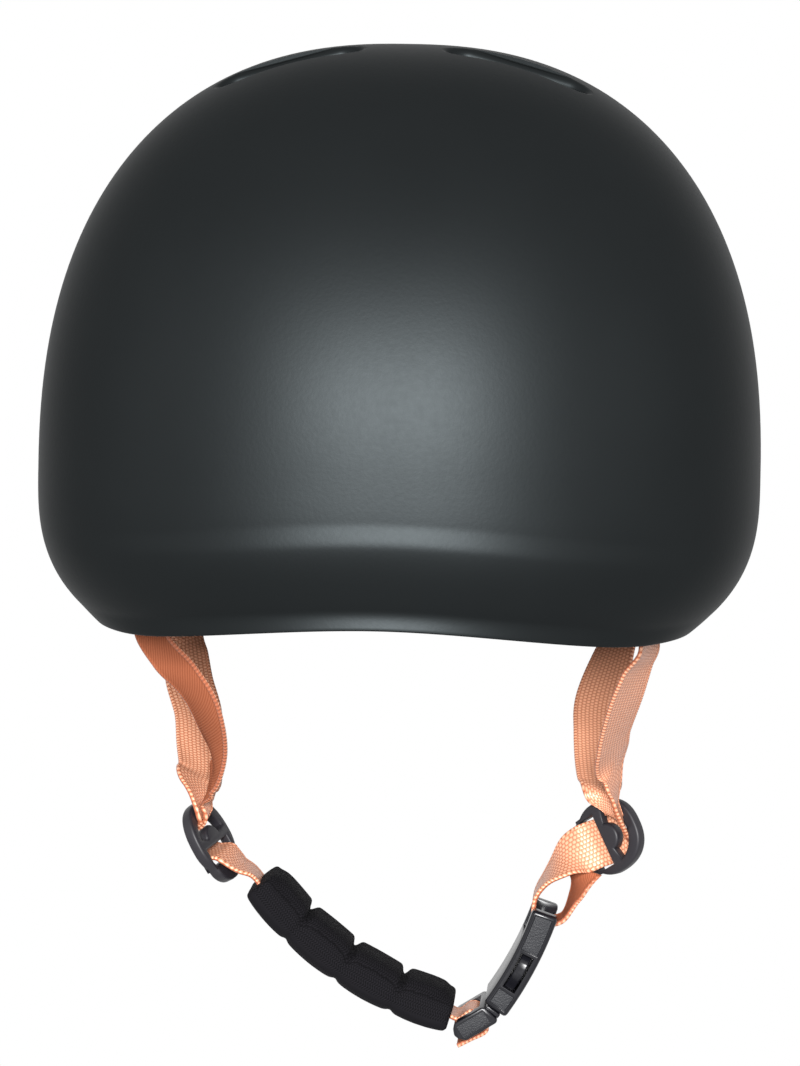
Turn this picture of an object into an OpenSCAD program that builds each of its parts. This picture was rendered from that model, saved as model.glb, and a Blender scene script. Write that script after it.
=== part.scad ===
// Bicycle helmet for town use: a smooth hard shell over a foam liner, with a dial fit band,
// webbing straps, two strap dividers, a padded chin strap and a curved side-release buckle.
// +Z is up, -Y is the front, +X is the wearer's left. The origin lies in the middle of the head
// opening, rim_side below the rim at the sides.

/* [Shell] */
// Half width of the shell at its widest level
half_w = 108; // [98:1:122]
// Length of the shell from the origin to its front, at the widest level
front_len = 128; // [118:1:142]
// Length of the shell from the origin to its back, at the widest level
back_len = 138; // [128:1:152]
// Height of the widest level above the side rim
widest_z = 46.5; // [42:0.5:54]
// Height of the crown above the widest level
crown_h = 129.5; // [118:0.5:145]
// Roundness of the plan outline, 2 is an ellipse
plan_n = 2.54; // [2.3:0.02:2.9]
// Roundness of the dome above its widest level, 2 is an ellipse
dome_n = 2.39; // [2.2:0.01:2.7]
// Roundness of the turned-in curve below the widest level
tuck_n = 2.75; // [2.4:0.01:3.1]
// Thickness of the hard shell
shell_wall = 3; // [2:0.25:4]
// Depth of the turned-in curve below the widest level, at the sides
tuck_side = 58; // [54:0.5:68]
// Depth of the turned-in curve below the widest level, at the front
tuck_front = 64; // [58:0.5:80]
// Depth of the turned-in curve below the widest level, at the back
tuck_back = 84.5; // [76:0.5:100]
// Height of the rim at the middle of the front
rim_front = 10; // [6:0.5:14]
// Height of the rim at the front corners
rim_corner = 3.4; // [1:0.2:6]
// Height of the rim at the middle of the sides
rim_side = 3; // [0:0.2:5]
// Height of the rim at the back corners
rim_back = -7; // [-10:0.5:-2]
// Rise of the rim above the back corners, where it clears the dial
dial_notch = 26; // [24:0.5:30]
// How far the front lip flares out
lip_flare = 7; // [4:0.25:8]
// How far the band above the lip is drawn in under the brow crease
brow_step = 2; // [0.5:0.25:2.5]
// Width of the air slots
slot_w = 12; // [8:0.5:13]
// Depth of the bevel round the air slots
slot_bevel = 1; // [0.5:0.1:1.5]

/* [Liner] */
// Gap between the shell and the foam
liner_gap = 0.3; // [0.2:0.05:0.5]
// Height of the foam's lower edge above the shell's rim
liner_rise = 3; // [2.5:0.25:4]
// Half width of the head space
head_half_w = 77; // [72:0.5:78]
// Length of the head space from the origin to the brow
head_front = 98; // [92:0.5:101]
// Length of the head space from the origin to the back
head_back = 104; // [98:0.5:110]
// Height of the head space at the crown
head_top = 147; // [138:0.5:152]
// Width of the air channels in the foam
channel_w = 14; // [12:0.5:18]
// Depth of the air channels in the foam
channel_depth = 7; // [4:0.5:8]

/* [Pads] */
// Thickness of the comfort pads at their crown
pad_thick = 7; // [4:0.25:9]
// Gap between the pads and the foam, which the hook dots fill
pad_gap = 1.5; // [1.2:0.1:2]
// Diameter of the hook dots
hook_d = 12; // [8:0.5:16]

/* [Straps] */
// Width of the webbing
web_w = 15; // [12:0.5:16]
// Thickness of the webbing
web_t = 1.4; // [1:0.1:1.8]
// Gap between webbing and what it runs over or through
web_gap = 0.35; // [0.3:0.05:0.5]
// Diameter of the bars that the webbing loops round
bar_d = 3.2; // [2.6:0.1:3.6]
// Thickness of the strap dividers
divider_t = 3.6; // [3:0.2:4.6]
// Width of the strap dividers
divider_w = 22.5; // [21.5:0.5:27]
// Height of the strap dividers
divider_h = 26; // [24:0.5:30]
// Height of the level where the straps meet above the dividers
pivot_z = -50; // [-52:0.5:-48]

/* [Chin pad] */
// Length of the chin pad along its curve
chin_len = 74; // [60:1:75]
// Width of the chin pad
chin_w = 27; // [24:0.5:32]
// Thickness of the chin pad
chin_t = 8.6; // [7:0.2:11]
// Number of sewn segments of the chin pad
chin_segments = 4; // [3:1:5]

/* [Buckle] */
// Width of the buckle
buckle_w = 25; // [24:0.5:28]
// Thickness of the buckle
buckle_t = 8; // [7.4:0.2:9]
// Length of the socket along its curve
socket_len = 33.5; // [32:0.5:36]
// Width of the slot that the tongue slides in
bay_w = 19; // [18:0.25:19.5]
// Thickness of the prongs
prong_t = 3; // [2.4:0.1:3.4]
// Clearance round the prongs in the socket
prong_gap = 0.4; // [0.3:0.05:0.5]
// How far each prong stands out into its window
prong_bulge = 2.2; // [1.6:0.1:2.4]

/* [Fit dial] */
// Height of the dial's axis
dial_z = 3; // [2:0.25:4]
// Diameter of the dial
dial_d = 26; // [22:0.5:27]
// Number of teeth of the pinion, an even number so that both racks mesh
pinion_teeth = 10; // [8:2:12]
// Tooth size of pinion and racks, pitch diameter over number of teeth
tooth_m = 1; // [0.9:0.05:1]
// Travel of each rack from loose to tight
rack_travel = 14; // [8:0.5:14]
// Half width of the dial housing
housing_half_w = 22; // [21:0.5:24]
// Thickness of the fit bands
band_t = 1.4; // [1:0.1:1.6]
// Height of the fit bands
band_h = 9; // [7:0.5:10]

/* [Hidden] */
fine = 64;
columns = 60;

// Plain helpers
function smooth(t) = let (u = min(1, max(0, t))) u * u * (3 - 2 * u);
function mix(a, b, t) = a + (b - a) * t;
function unit(v) = v / norm(v);
function bell(t) = exp(-t * t);

// Shape of the dome. The bearing is the angle round the head from the front towards +X.
function oval(bearing, side, front, back, n) =
    pow(pow(abs(sin(bearing)) / side, n)
        + pow(abs(cos(bearing)) / (cos(bearing) > 0 ? front : back), n), -1 / n);
function plan_r(bearing) = oval(bearing, half_w, front_len, back_len, plan_n);
function tuck(bearing) = mix(tuck_side, cos(bearing) > 0 ? tuck_front : tuck_back,
                             pow(cos(bearing), 2));
function dome_f(bearing, z) =
    let (low = z < widest_z, n = low ? tuck_n : dome_n,
         q = low ? (widest_z - z) / tuck(bearing) : (z - widest_z) / crown_h)
    pow(max(0, 1 - pow(min(1, q), n)), 1 / n);
function rim_z(bearing) = let (d = abs(bearing))
    d < 45 ? mix(rim_front, rim_corner, smooth(d / 45))
    : d < 90 ? mix(rim_corner, rim_side, smooth((d - 45) / 45))
    : mix(rim_side, rim_back, smooth((d - 90) / 45)) + dial_notch * smooth((d - 148) / 22);

// The front band: a crease at crease_h above the rim, drawn in below it, flaring at the lip
crease_h = 25;
lip_h = 13;
function front_off(bearing, h) = smooth((80 - abs(bearing)) / 55)
    * (lip_flare * pow(max(0, 1 - h / lip_h), 2) - brow_step * smooth((crease_h + 1.5 - h) / 8)
       + 0.6 * bell((h - crease_h - 2) / 3.5));

// A point of the dome from its bearing and height, and the outward direction there
function polar(bearing, r, z) = [r * sin(bearing), -r * cos(bearing), z];
function dome_point(bearing, z) = polar(bearing, plan_r(bearing) * dome_f(bearing, z)
                                        + front_off(bearing, z - rim_z(bearing)), z);
function dome_field(p) = let (bearing = atan2(p.x, -p.y), low = p.z < widest_z,
                              h = low ? tuck(bearing) : crown_h, n = low ? tuck_n : dome_n)
    pow(norm([p.x, p.y]) / plan_r(bearing), n) + pow(abs(p.z - widest_z) / h, n);
probe = 0.01;
function dome_normal(p) = unit([for (i = [0:2])
    let (e = [for (j = [0:2]) i == j ? probe : 0]) dome_field(p + e) - dome_field(p - e)]);
function inset(p, depth) = p - depth * dome_normal(p);

// A point of the dome's top from its place in plan
function top_point(x, y) = let (bearing = atan2(x, -y), f = norm([x, y]) / plan_r(bearing))
    [x, y, widest_z + crown_h * pow(1 - pow(f, dome_n), 1 / dome_n)];

// Rows of the dome: a share of the way from rim to widest level, then a climb angle to the crown
outer_rows = [0, 0.06, 0.13, 0.21, 0.3, 0.4, 0.5, 0.6, 0.7, 0.8, 0.9, 1];
inner_rows = [0, 0.1, 0.25, 0.45, 0.7, 1];
climbs = [12, 24, 36, 48, 59, 69, 77, 84];
bearings = [for (i = [0:columns - 1]) -180 + 360 * i / columns];
function low_ring(share, depth) = [for (b = bearings)
    inset(dome_point(b, mix(rim_z(b), widest_z, share)), depth)];
function high_ring(climb, depth) = [for (b = bearings)
    inset(dome_point(b, widest_z + crown_h * pow(sin(climb), 2 / dome_n)), depth)];
function dome_rings(rows, depth) = concat([for (s = rows) low_ring(s, depth)],
                                          [for (c = climbs) high_ring(c, depth)]);
crown_z = widest_z + crown_h;

// Shape of the head space inside the foam
head_n = 2.3;
head_wall_z = 35;
function head_r(bearing) = oval(bearing, head_half_w, head_front, head_back, head_n);
function head_f(z) = z < head_wall_z ? 1
    : pow(max(0, 1 - pow((z - head_wall_z) / (head_top - head_wall_z), head_n)), 1 / head_n);
function head_point(bearing, z, depth) = polar(bearing, head_r(bearing) * head_f(z) - depth, z);
function head_top_point(x, y, depth) = let (f = norm([x, y]) / head_r(atan2(x, -y)))
    [x, y, head_wall_z + (head_top - head_wall_z) * pow(1 - pow(f, head_n), 1 / head_n) - depth];

// A closed skin between an outer and an inner stack of rings, each closed by its own peak.
// The first rings of the two stacks are joined by the lower edge.
module closed_skin(outer, inner, outer_peak, inner_peak) {
    n = len(outer[0]);
    a = len(outer);
    b = len(inner);
    base = a * n;
    peak = (a + b) * n;
    points = concat([for (r = outer) each r], [for (r = inner) each r], [outer_peak, inner_peak]);
    faces = concat(
        [for (i = [0:a - 2], j = [0:n - 1]) let (k = (j + 1) % n)
            each [[i * n + j, (i + 1) * n + j, (i + 1) * n + k],
                  [i * n + j, (i + 1) * n + k, i * n + k]]],
        [for (j = [0:n - 1]) [(a - 1) * n + j, peak, (a - 1) * n + (j + 1) % n]],
        [for (i = [0:b - 2], j = [0:n - 1]) let (k = (j + 1) % n)
            each [[base + i * n + j, base + (i + 1) * n + k, base + (i + 1) * n + j],
                  [base + i * n + j, base + i * n + k, base + (i + 1) * n + k]]],
        [for (j = [0:n - 1]) [base + (b - 1) * n + j, base + (b - 1) * n + (j + 1) % n, peak + 1]],
        [for (j = [0:n - 1]) let (k = (j + 1) % n)
            each [[j, k, base + k], [j, base + k, base + j]]]);
    polyhedron(points, faces);
}

// A closed ring of cross sections, each a list of corners, joined end to end
module closed_loop(sections) {
    m = len(sections);
    n = len(sections[0]);
    faces = [for (i = [0:m - 1], j = [0:n - 1]) let (p = (i + 1) % m, k = (j + 1) % n)
        each [[i * n + j, p * n + j, p * n + k], [i * n + j, p * n + k, i * n + k]]];
    polyhedron([for (s = sections) each s], faces);
}

// An open run of cross sections with flat ends
module open_run(sections) {
    m = len(sections);
    n = len(sections[0]);
    faces = concat(
        [for (i = [0:m - 2], j = [0:n - 1]) let (k = (j + 1) % n)
            each [[i * n + j, (i + 1) * n + j, (i + 1) * n + k],
                  [i * n + j, (i + 1) * n + k, i * n + k]]],
        [[for (j = [0:n - 1]) j]], [[for (j = [n - 1:-1:0]) (m - 1) * n + j]]);
    polyhedron([for (s = sections) each s], faces);
}

// A smooth curve through stations. Each is a place and, for webbing, the direction of its width.
curve_steps = 3;
function spline(a, b, c, d, t) = 0.5 * ((2 * b) + (c - a) * t + (2 * a - 5 * b + 4 * c - d) * t * t
                                        + (3 * b - a - 3 * c + d) * t * t * t);
function curve(s) = let (n = len(s)) concat(
    [for (i = [0:n - 2], k = [0:curve_steps - 1])
        spline(s[max(0, i - 1)], s[i], s[i + 1], s[min(n - 1, i + 2)], k / curve_steps)], [s[n - 1]]);
function spot(s) = [s[0], s[1], s[2]];
function facing(p, across) = [p.x, p.y, p.z, across.x, across.y, across.z];

// Stations from rows of x, y, z and the angle of the width in plan
function stations(rows) = [for (r = rows) facing(r, [cos(r[3]), sin(r[3]), 0])];

// Webbing or band: a flat strip along a curve, upright where the stations give no direction
function strip_sections(c, w, t) = [for (i = [0:len(c) - 1])
    let (ahead = unit(spot(c[min(len(c) - 1, i + 1)]) - spot(c[max(0, i - 1)])),
         lean = len(c[i]) > 3 ? [c[i][3], c[i][4], c[i][5]] : [0, 0, 1],
         across = unit(lean - (lean * ahead) * ahead),
         out = cross(ahead, across),
         p = spot(c[i]), u = across * w / 2, v = out * t / 2)
    [p - u - v, p + u - v, p + u + v, p - u + v]];
module strip(c, w, t) {
    open_run(strip_sections(c, w, t));
}

// Moves what it holds into a frame given by its origin and its first two axes
module in_frame(o, u, v) {
    w = cross(u, v);
    multmatrix([[u.x, v.x, w.x, o.x], [u.y, v.y, w.y, o.y], [u.z, v.z, w.z, o.z], [0, 0, 0, 1]])
        children();
}

// A slot along two points of the dome, cut straight in, with a bevel at its mouth
module dome_slot(p, q, w, reach) {
    up = dome_normal((p + q) / 2);
    tilt = [0, acos(up.z), atan2(up.y, up.x)];
    hull() for (c = [p, q]) translate(c) rotate(tilt) translate([0, 0, -reach])
        cylinder(h = reach + 6, d = w, $fn = 24);
    hull() for (c = [p, q]) translate(c) rotate(tilt) translate([0, 0, -slot_bevel])
        cylinder(h = slot_bevel + 4, d1 = w, d2 = w + 2 * slot_bevel + 8, $fn = 24);
}

// The air slots: a pair over the brow, a pair behind the crown and a pair low at the back
front_slot = [[19, -37], [48, -42]];
back_slot = [[18, 44], [45, 52]];
low_slot_z = 96;
low_slot = [166, 150];
function slot_ends(kind) = kind == 0 ? [for (c = front_slot) top_point(c.x, c.y)]
    : kind == 1 ? [for (c = back_slot) top_point(c.x, c.y)]
    : [for (b = low_slot) dome_point(b, low_slot_z)];
module air_slots(w, reach) {
    for (side = [0, 1], kind = [0:2]) mirror([side, 0, 0]) {
        ends = slot_ends(kind);
        dome_slot(ends[0], ends[1], w, reach);
    }
}

module outer_shell() {
    color("#26292b") difference() {
        closed_skin(dome_rings(outer_rows, 0), dome_rings(inner_rows, shell_wall),
                    [0, 0, crown_z], [0, 0, crown_z - shell_wall]);
        air_slots(slot_w, shell_wall + 6);
    }
}

// Where the straps go up into the foam: place, and the plan angle of the webbing there
front_left_root = [0.7 * half_w, -52, 6, 72];
rear_left_root = [0.662 * half_w, 53, 6, 120];
front_right_root = [-0.676 * half_w, -54, 6, -62];
rear_right_root = [-0.667 * half_w, 49.5, 6, 57];
roots = [front_left_root, rear_left_root, front_right_root, rear_right_root];
anchor_bar_z = 17;
anchor_wall = 1.2;
anchor_w = web_w + 2 + 2 * anchor_wall;
loop_r = bar_d / 2 + web_gap + web_t / 2;
anchor_depth = 2 * (loop_r + web_t / 2 + web_gap + anchor_wall);
anchor_h = 9;
pocket_gap = 0.4;

liner_depth = shell_wall + liner_gap;
liner_rows = [for (i = [1:len(inner_rows) - 1]) inner_rows[i]];
head_heights = [0, 0.2, 0.45, 0.7, 1];
head_climbs = [4, 10, 19, 28, 37, 46, 55, 64, 73, 82];
function foam_low(b) = let (s = inner_rows[1]) max(rim_z(b) + liner_rise,
    inset(dome_point(b, mix(rim_z(b), widest_z, s)), liner_depth).z);
function foam_rings() = dome_rings(liner_rows, liner_depth);
function head_rings() = concat(
    [for (s = head_heights)
        [for (b = bearings) head_point(b, mix(foam_low(b), head_wall_z, s), 0)]],
    [for (c = head_climbs) [for (b = bearings)
        head_point(b, head_wall_z + (head_top - head_wall_z) * pow(sin(c), 2 / head_n), 0)]]);

// One air channel from the front slot over the head to the low back slot
channel_x = 30;
channel_ys = [-58, -36, -8, 22, 50, 72];
module air_channel() {
    for (i = [0:len(channel_ys) - 2]) hull() for (y = [channel_ys[i], channel_ys[i + 1]])
        translate(head_top_point(channel_x, y, channel_w / 2 - channel_depth))
            sphere(d = channel_w, $fn = 16);
}

// A box round an anchor, wider by a gap, open downwards
module anchor_box(root, gap, down) {
    translate([root.x, root.y, anchor_bar_z - anchor_h / 2]) rotate([0, 0, root[3]])
        translate([-anchor_w / 2 - gap, -anchor_depth / 2 - gap, -down])
            cube([anchor_w + 2 * gap, anchor_depth + 2 * gap, anchor_h + down + gap]);
}

temple_b = 96;
pin_bearings = [-temple_b, -42, 42, temple_b];
pin_d = 3.6;
pin_len = 7;
pin_play = 0.3;
pin_head_d = 7;
pin_head_t = 1.2;
band_depth = 2.6;
function band_z(b) = mix(12, 22, smooth((100 - abs(b)) / 85));

module foam_liner() {
    color("#1b1b1d") difference() {
        closed_skin(foam_rings(), head_rings(), [0, 0, crown_z - liner_depth], [0, 0, head_top]);
        air_slots(slot_w + 1, 60);
        for (side = [0, 1]) mirror([side, 0, 0]) air_channel();
        for (r = roots) anchor_box(r, pocket_gap, 30);
        for (b = pin_bearings) pin_place(b) pin_hole(24);
        spine_pin_place() pin_hole(24);
    }
}

// Soft strip under the foam's lower edge, inside the shell's rim
strip_gap = 0.4;
strip_back = 2.6;
module edge_strip() {
    color("#141414") difference() {
        closed_loop([for (b = bearings)
            let (low = rim_z(b) + 0.6, high = foam_low(b) - strip_gap,
                 out = [for (z = [low, high]) inset(dome_point(b, z), shell_wall)],
                 reach = min([for (q = out) norm([q.x, q.y])]) - strip_back,
                 inner = min(head_r(b), reach - 2))
            [polar(b, inner, low), polar(b, reach, low), polar(b, reach, high), polar(b, inner, high)]]);
        for (r = roots) anchor_box(r, pocket_gap, 30);
    }
}

// Cushions on the wall of the head space. The wall side keeps a gap, the head side is crowned,
// drawn in at its edges and pressed down along its sewn channels.
function rise_in(t) = pow(max(0, 1 - pow(abs(2 * t - 1), 4)), 0.5);
function puff(u, v, seams) = (0.16 + 0.84 * rise_in(u) * rise_in(v))
    * (1 - 0.4 * max([for (s = seams) bell((u - s) / 0.03)]));
module wall_cushion(b0, b1, z0, z1, thick, nu, nv, seams) {
    inner = [for (i = [0:nu]) [for (k = [0:nv]) let (u = i / nu, v = k / nv)
        head_point(mix(b0, b1, u), mix(z0, z1, v), pad_gap + thick * puff(u, v, seams))]];
    wall = [for (i = [0:nu]) [for (k = [nv:-1:0]) let (u = i / nu, v = k / nv)
        head_point(mix(b0, b1, u), mix(z0, z1, v), pad_gap)]];
    open_run([for (i = [0:nu]) concat(inner[i], wall[i])]);
}

brow_half = 52;
brow_z = [30, 58];
module brow_pad() {
    color("#1a1a1c") wall_cushion(-brow_half, brow_half, brow_z[0], brow_z[1], pad_thick, 34, 6,
                                  [0.25, 0.5, 0.75]);
}

side_bearings = [78, 118];
side_z = [34, 84];
module side_cushion() {
    wall_cushion(side_bearings[0], side_bearings[1], side_z[0], side_z[1], pad_thick, 14, 8, [0.5]);
}
module side_pad_left() {
    color("#1a1a1c") side_cushion();
}
module side_pad_right() {
    color("#1a1a1c") mirror([1, 0, 0]) side_cushion();
}

// Round pad under the crown with a sewn ring and a dimple in the middle
crown_pad_r = 24;
crown_pad_y = 6;
crown_pad_sides = 28;
crown_shares = [0, 0.12, 0.3, 0.5, 0.7, 0.88];
module crown_pad() {
    function ring(share, depth) = [for (i = [0:crown_pad_sides - 1])
        let (a = -360 * i / crown_pad_sides, r = crown_pad_r * (1 - share))
        head_top_point(r * cos(a), crown_pad_y + r * sin(a), depth)];
    function plump(share) = pad_gap + pad_thick * (0.16 + 0.84 * pow(1 - pow(1 - share, 5), 0.5))
        * (1 - 0.35 * bell((share - 0.5) / 0.08));
    color("#1a1a1c")
        closed_skin([for (s = crown_shares) ring(s, pad_gap)],
                    [for (s = crown_shares) ring(s, plump(s))],
                    head_top_point(0, crown_pad_y, pad_gap),
                    head_top_point(0, crown_pad_y, pad_gap + pad_thick * 0.8));
}

// Hook discs that hold the pads on the foam
hook_t = pad_gap - 0.85;
hook_depth = pad_gap - 0.2;
hook_spots = [[-34, 44], [-12, 44], [12, 44], [34, 44], [90, 50], [90, 70], [106, 60],
              [-90, 50], [-90, 70], [-106, 60]];
module hook_dots() {
    color("#2b2b2b") {
        for (h = hook_spots) {
            p = head_point(h[0], h[1], hook_depth);
            q = head_point(h[0], h[1] + 1, hook_depth);
            s = head_point(h[0] + 1, h[1], hook_depth);
            in_frame(p, unit(s - p), unit(cross(cross(s - p, q - p), s - p)))
                cylinder(h = hook_t, d = hook_d, $fn = fine);
        }
        for (x = [-14, 14]) {
            p = head_top_point(x, crown_pad_y, hook_depth);
            q = head_top_point(x + 1, crown_pad_y, hook_depth);
            s = head_top_point(x, crown_pad_y + 1, hook_depth);
            in_frame(p, unit(q - p), unit(cross(cross(q - p, s - p), q - p)))
                cylinder(h = hook_t, d = hook_d, $fn = fine);
        }
    }
}

// Strap anchor: an open box in the foam with a cross bar that the webbing loops round
module anchor(root) {
    translate([root.x, root.y, anchor_bar_z]) rotate([0, 0, root[3]]) {
        difference() {
            translate([-anchor_w / 2, -anchor_depth / 2, -anchor_h / 2])
                cube([anchor_w, anchor_depth, anchor_h]);
            translate([-web_w / 2 - 1, -anchor_depth / 2 + anchor_wall, -anchor_h / 2 - 1])
                cube([web_w + 2, anchor_depth - 2 * anchor_wall, anchor_h + 2]);
        }
        translate([-web_w / 2 - 1.2, 0, 0]) rotate([0, 90, 0])
            cylinder(h = web_w + 2.4, d = bar_d, $fn = fine);
    }
}
module front_anchor_left() {
    color("#1d1d1f") anchor(front_left_root);
}
module front_anchor_right() {
    color("#1d1d1f") anchor(front_right_root);
}
module rear_anchor_left() {
    color("#1d1d1f") anchor(rear_left_root);
}
module rear_anchor_right() {
    color("#1d1d1f") anchor(rear_right_root);
}

// The loop of webbing round an anchor's bar, from its sewn end down to where the strap leaves
function anchor_loop(root, next) = let (a = root[3], side = [-sin(a), cos(a), 0],
                                        leaving = sign((spot(next) - spot(root)) * side))
    [for (s = [[-1, -3], [-1, 0], [-0.72, 0.72], [0, 1], [0.72, 0.72], [1, 0], [1, -2.2]])
        facing([root.x, root.y, anchor_bar_z] + side * leaving * loop_r * s[0] + [0, 0, loop_r * s[1]],
               [cos(a), sin(a), 0])];

// Stations of the straps from the anchors to the dividers: x measured from the straight line
// between the two, then y, z and the angle of the width in plan
front_left_run = [[0, -51, 1, 70], [-2.1, -46, -7, 60], [-3.6, -38, -17, 56], [-5, -25, -31, 62],
                  [-4.1, -16, -39.5, 60]];
rear_left_run = [[-2.4, 49, -3, 118], [-4.7, 43, -12, 118], [-8.1, 31, -26, 112],
                 [-8.2, 19, -35.5, 98], [-6.7, 8, -43, 78]];
front_right_run = [[2.1, -52.5, 1, -40], [5.9, -47, -8.5, -24], [9.5, -41, -16.5, -36],
                   [10.5, -34, -24.5, -50], [9.4, -24, -34.5, -63], [7.2, -16, -43.5, -80]];
rear_right_run = [[-1.1, 46.8, -1, 57], [-2.4, 44, -9, 46], [-2.9, 40.5, -15, 20],
                  [-2.6, 35, -23, 4], [-0.7, 27, -32, 6], [-0.9, 18, -40.5, 24],
                  [-1, 8, -47.5, 50]];
module webbing(root, hang, rows, end) {
    run = [for (r = rows) let (down = (root.z - r[2]) / (root.z - hang[0].z))
        [mix(root.x, hang[0].x, down) + r[0], r[1], r[2], r[3]]];
    path = concat(anchor_loop(root, run[0]), stations(run), leaning(hang, end));
    color("#c98a6c") strip(curve(path), web_w, web_t);
}
module front_strap_left() {
    webbing(front_left_root, left_hang, front_left_run, front_left_end);
}
module rear_strap_left() {
    webbing(rear_left_root, left_hang, rear_left_run, rear_left_end);
}
module front_strap_right() {
    webbing(front_right_root, right_hang, front_right_run, front_right_end);
}
module rear_strap_right() {
    webbing(rear_right_root, right_hang, rear_right_run, rear_right_end);
}

// Strap divider, drawn flat with its straps coming in at the top: a waisted ring with a curved
// upper slot, a middle bar and a straight lower slot
slot_high = 2 * web_t + 3 * web_gap;
crescent_r = divider_w / 2 - 3;
slot_half_w = web_w / 2 + 0.6;
lower_slot = [-6.4, -0.9];
function waist(s) = 1 - 0.1 * smooth(-2 * s) - 0.05 * bell((s + 0.5) / 0.14);
function ring_edge(a) = let (s = sin(a))
    [divider_w / 2 * waist(s) * pow(abs(cos(a)), 0.82) * sign(cos(a)),
     divider_h / 2 * pow(abs(s), 0.85) * sign(s)];
arc_steps = 18;
function arc(r, a0, a1) = [for (i = [0:arc_steps])
    let (a = mix(a0, a1, i / arc_steps)) r * [cos(a), sin(a)]];
module divider() {
    linear_extrude(divider_t, center = true) difference() {
        polygon([for (i = [0:59]) ring_edge(6 * i)]);
        translate([0, 0.8]) polygon(concat(arc(crescent_r, 14, 166),
                                           arc(crescent_r - slot_high, 166, 14)));
        translate([-slot_half_w, lower_slot[0]])
            square([2 * slot_half_w, lower_slot[1] - lower_slot[0]]);
    }
}

// Where the dividers hang: the middle, the direction of the width and the direction of the top
left_divider_at = [64.7, -5.5, -63];
left_flat = unit([0.8, -0.6, 0]);
left_turn = 58;
left_divider_u = cos(left_turn) * left_flat - [0, 0, sin(left_turn)];
left_divider = [left_divider_at, left_divider_u, cross(cross(left_flat, [0, 0, 1]), left_divider_u)];
right_divider_top = unit([-0.5, 0, 0.866]);
right_divider_u = unit(cross(right_divider_top, cross([0.27, 0.95, 0.156], right_divider_top)));
right_divider = [[-56.3, -5, -67.6], right_divider_u, right_divider_top];
function hung(d, s) = d[0] + d[1] * s[0] + d[2] * s[1] + cross(d[1], d[2]) * s[2];
module divider_left() {
    color("#1c1d20") in_frame(left_divider[0], left_divider[1], left_divider[2]) divider();
}
module divider_right() {
    color("#1c1d20") in_frame(right_divider[0], right_divider[1], right_divider[2]) divider();
}

// Ends of the upper straps on the face of a divider, one over the other: the place and the lean
// of the width, both along the divider's width, towards its top and out of its face
first_layer = divider_t / 2 + web_gap + web_t / 2;
second_layer = first_layer + web_t + web_gap;
flat = [1, 0, 0];
left_hang = [left_divider_at + left_flat * 2.5, left_flat, [0, 0, 1]];
right_hang = right_divider;
front_left_end = [[[2.6, 16.6, second_layer + 4.4], [0.57, 0.5, -0.65]],
                  [[1.2, 12.8, second_layer + 2.5], [0.95, 0.25, -0.12]],
                  [[0.3, 9.4, second_layer + 0.6], flat], [[0, 6.2, second_layer], flat]];
rear_left_end = [[[-6.8, 18.6, -3.2], [0.65, -0.4, -0.55]], [[-2.4, 16, 1], [0.87, -0.25, -0.25]],
                 [[-0.6, 13.2, first_layer + 0.1], [0.99, -0.08, -0.03]],
                 [[0, 9.8, first_layer], flat], [[0, 6.4, first_layer], flat]];
front_right_end = [[[-3.6, 17.4, 12.2], [-0.84, -0.52, 0.1]], [[-1.6, 14.8, 8.5], [-0.95, -0.3, 0.05]],
                   [[-0.5, 12, second_layer + 2], [-1, -0.08, 0]],
                   [[0, 9, second_layer + 0.4], -flat], [[0, 6.2, second_layer], -flat]];
rear_right_end = [[[9.6, 17.4, 1.9], [0.62, -0.7, 0.3]], [[5.2, 15, 2.6], [0.8, -0.5, 0.15]],
                  [[2, 12.4, first_layer + 0.1], [0.95, -0.25, 0]],
                  [[0.4, 9.6, first_layer], [1, -0.05, 0]], [[0, 6.6, first_layer], flat]];
function leaning(hang, rows) = [for (r = rows) let (lean = r[1])
    facing(hung(hang, r[0]), unit(hang[1] * lean.x + hang[2] * lean.y
                                  + cross(hang[1], hang[2]) * lean.z))];

// The chin webbing behind a divider's bar and out through its lower slot
bar_pass = [[4.6, -first_layer], [2, -first_layer], [-0.5, -first_layer], [-2, -2.3], [-2.9, -1.1],
            [-3.5, 0.3], [-4.3, 2]];
function divider_pass(d) = [for (s = bar_pass) facing(hung(d, [0, s.x, s.y]), d[1])];

// The buckle is curved about the pivot, where the right straps meet above their divider, so the
// tongue leaves the socket along its own curve
pivot = [-61, -5, pivot_z];
buckle_r = 113;
mouth_a = -34.9;
deg = 180 / (PI * buckle_r);
function round_pivot(a, r) = [pivot.x + r * cos(a), pivot.y, pivot.z + r * sin(a)];

// A piece of a ring about the pivot, across y0 to y1 from the buckle's middle plane
module arc_block(a0, a1, r0, r1, y0, y1) {
    translate(pivot) rotate([90, 0, 0]) rotate([0, 0, a0]) translate([0, 0, -y1])
        rotate_extrude(angle = a1 - a0, $fn = 180) translate([r0, 0]) square([r1 - r0, y1 - y0]);
}
// A bar across the buckle at an angle about the pivot
module cross_bar(a, r, d, w) {
    translate(round_pivot(a, r)) rotate([90, 0, 0]) cylinder(h = w, d = d, center = true, $fn = fine);
}

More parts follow.
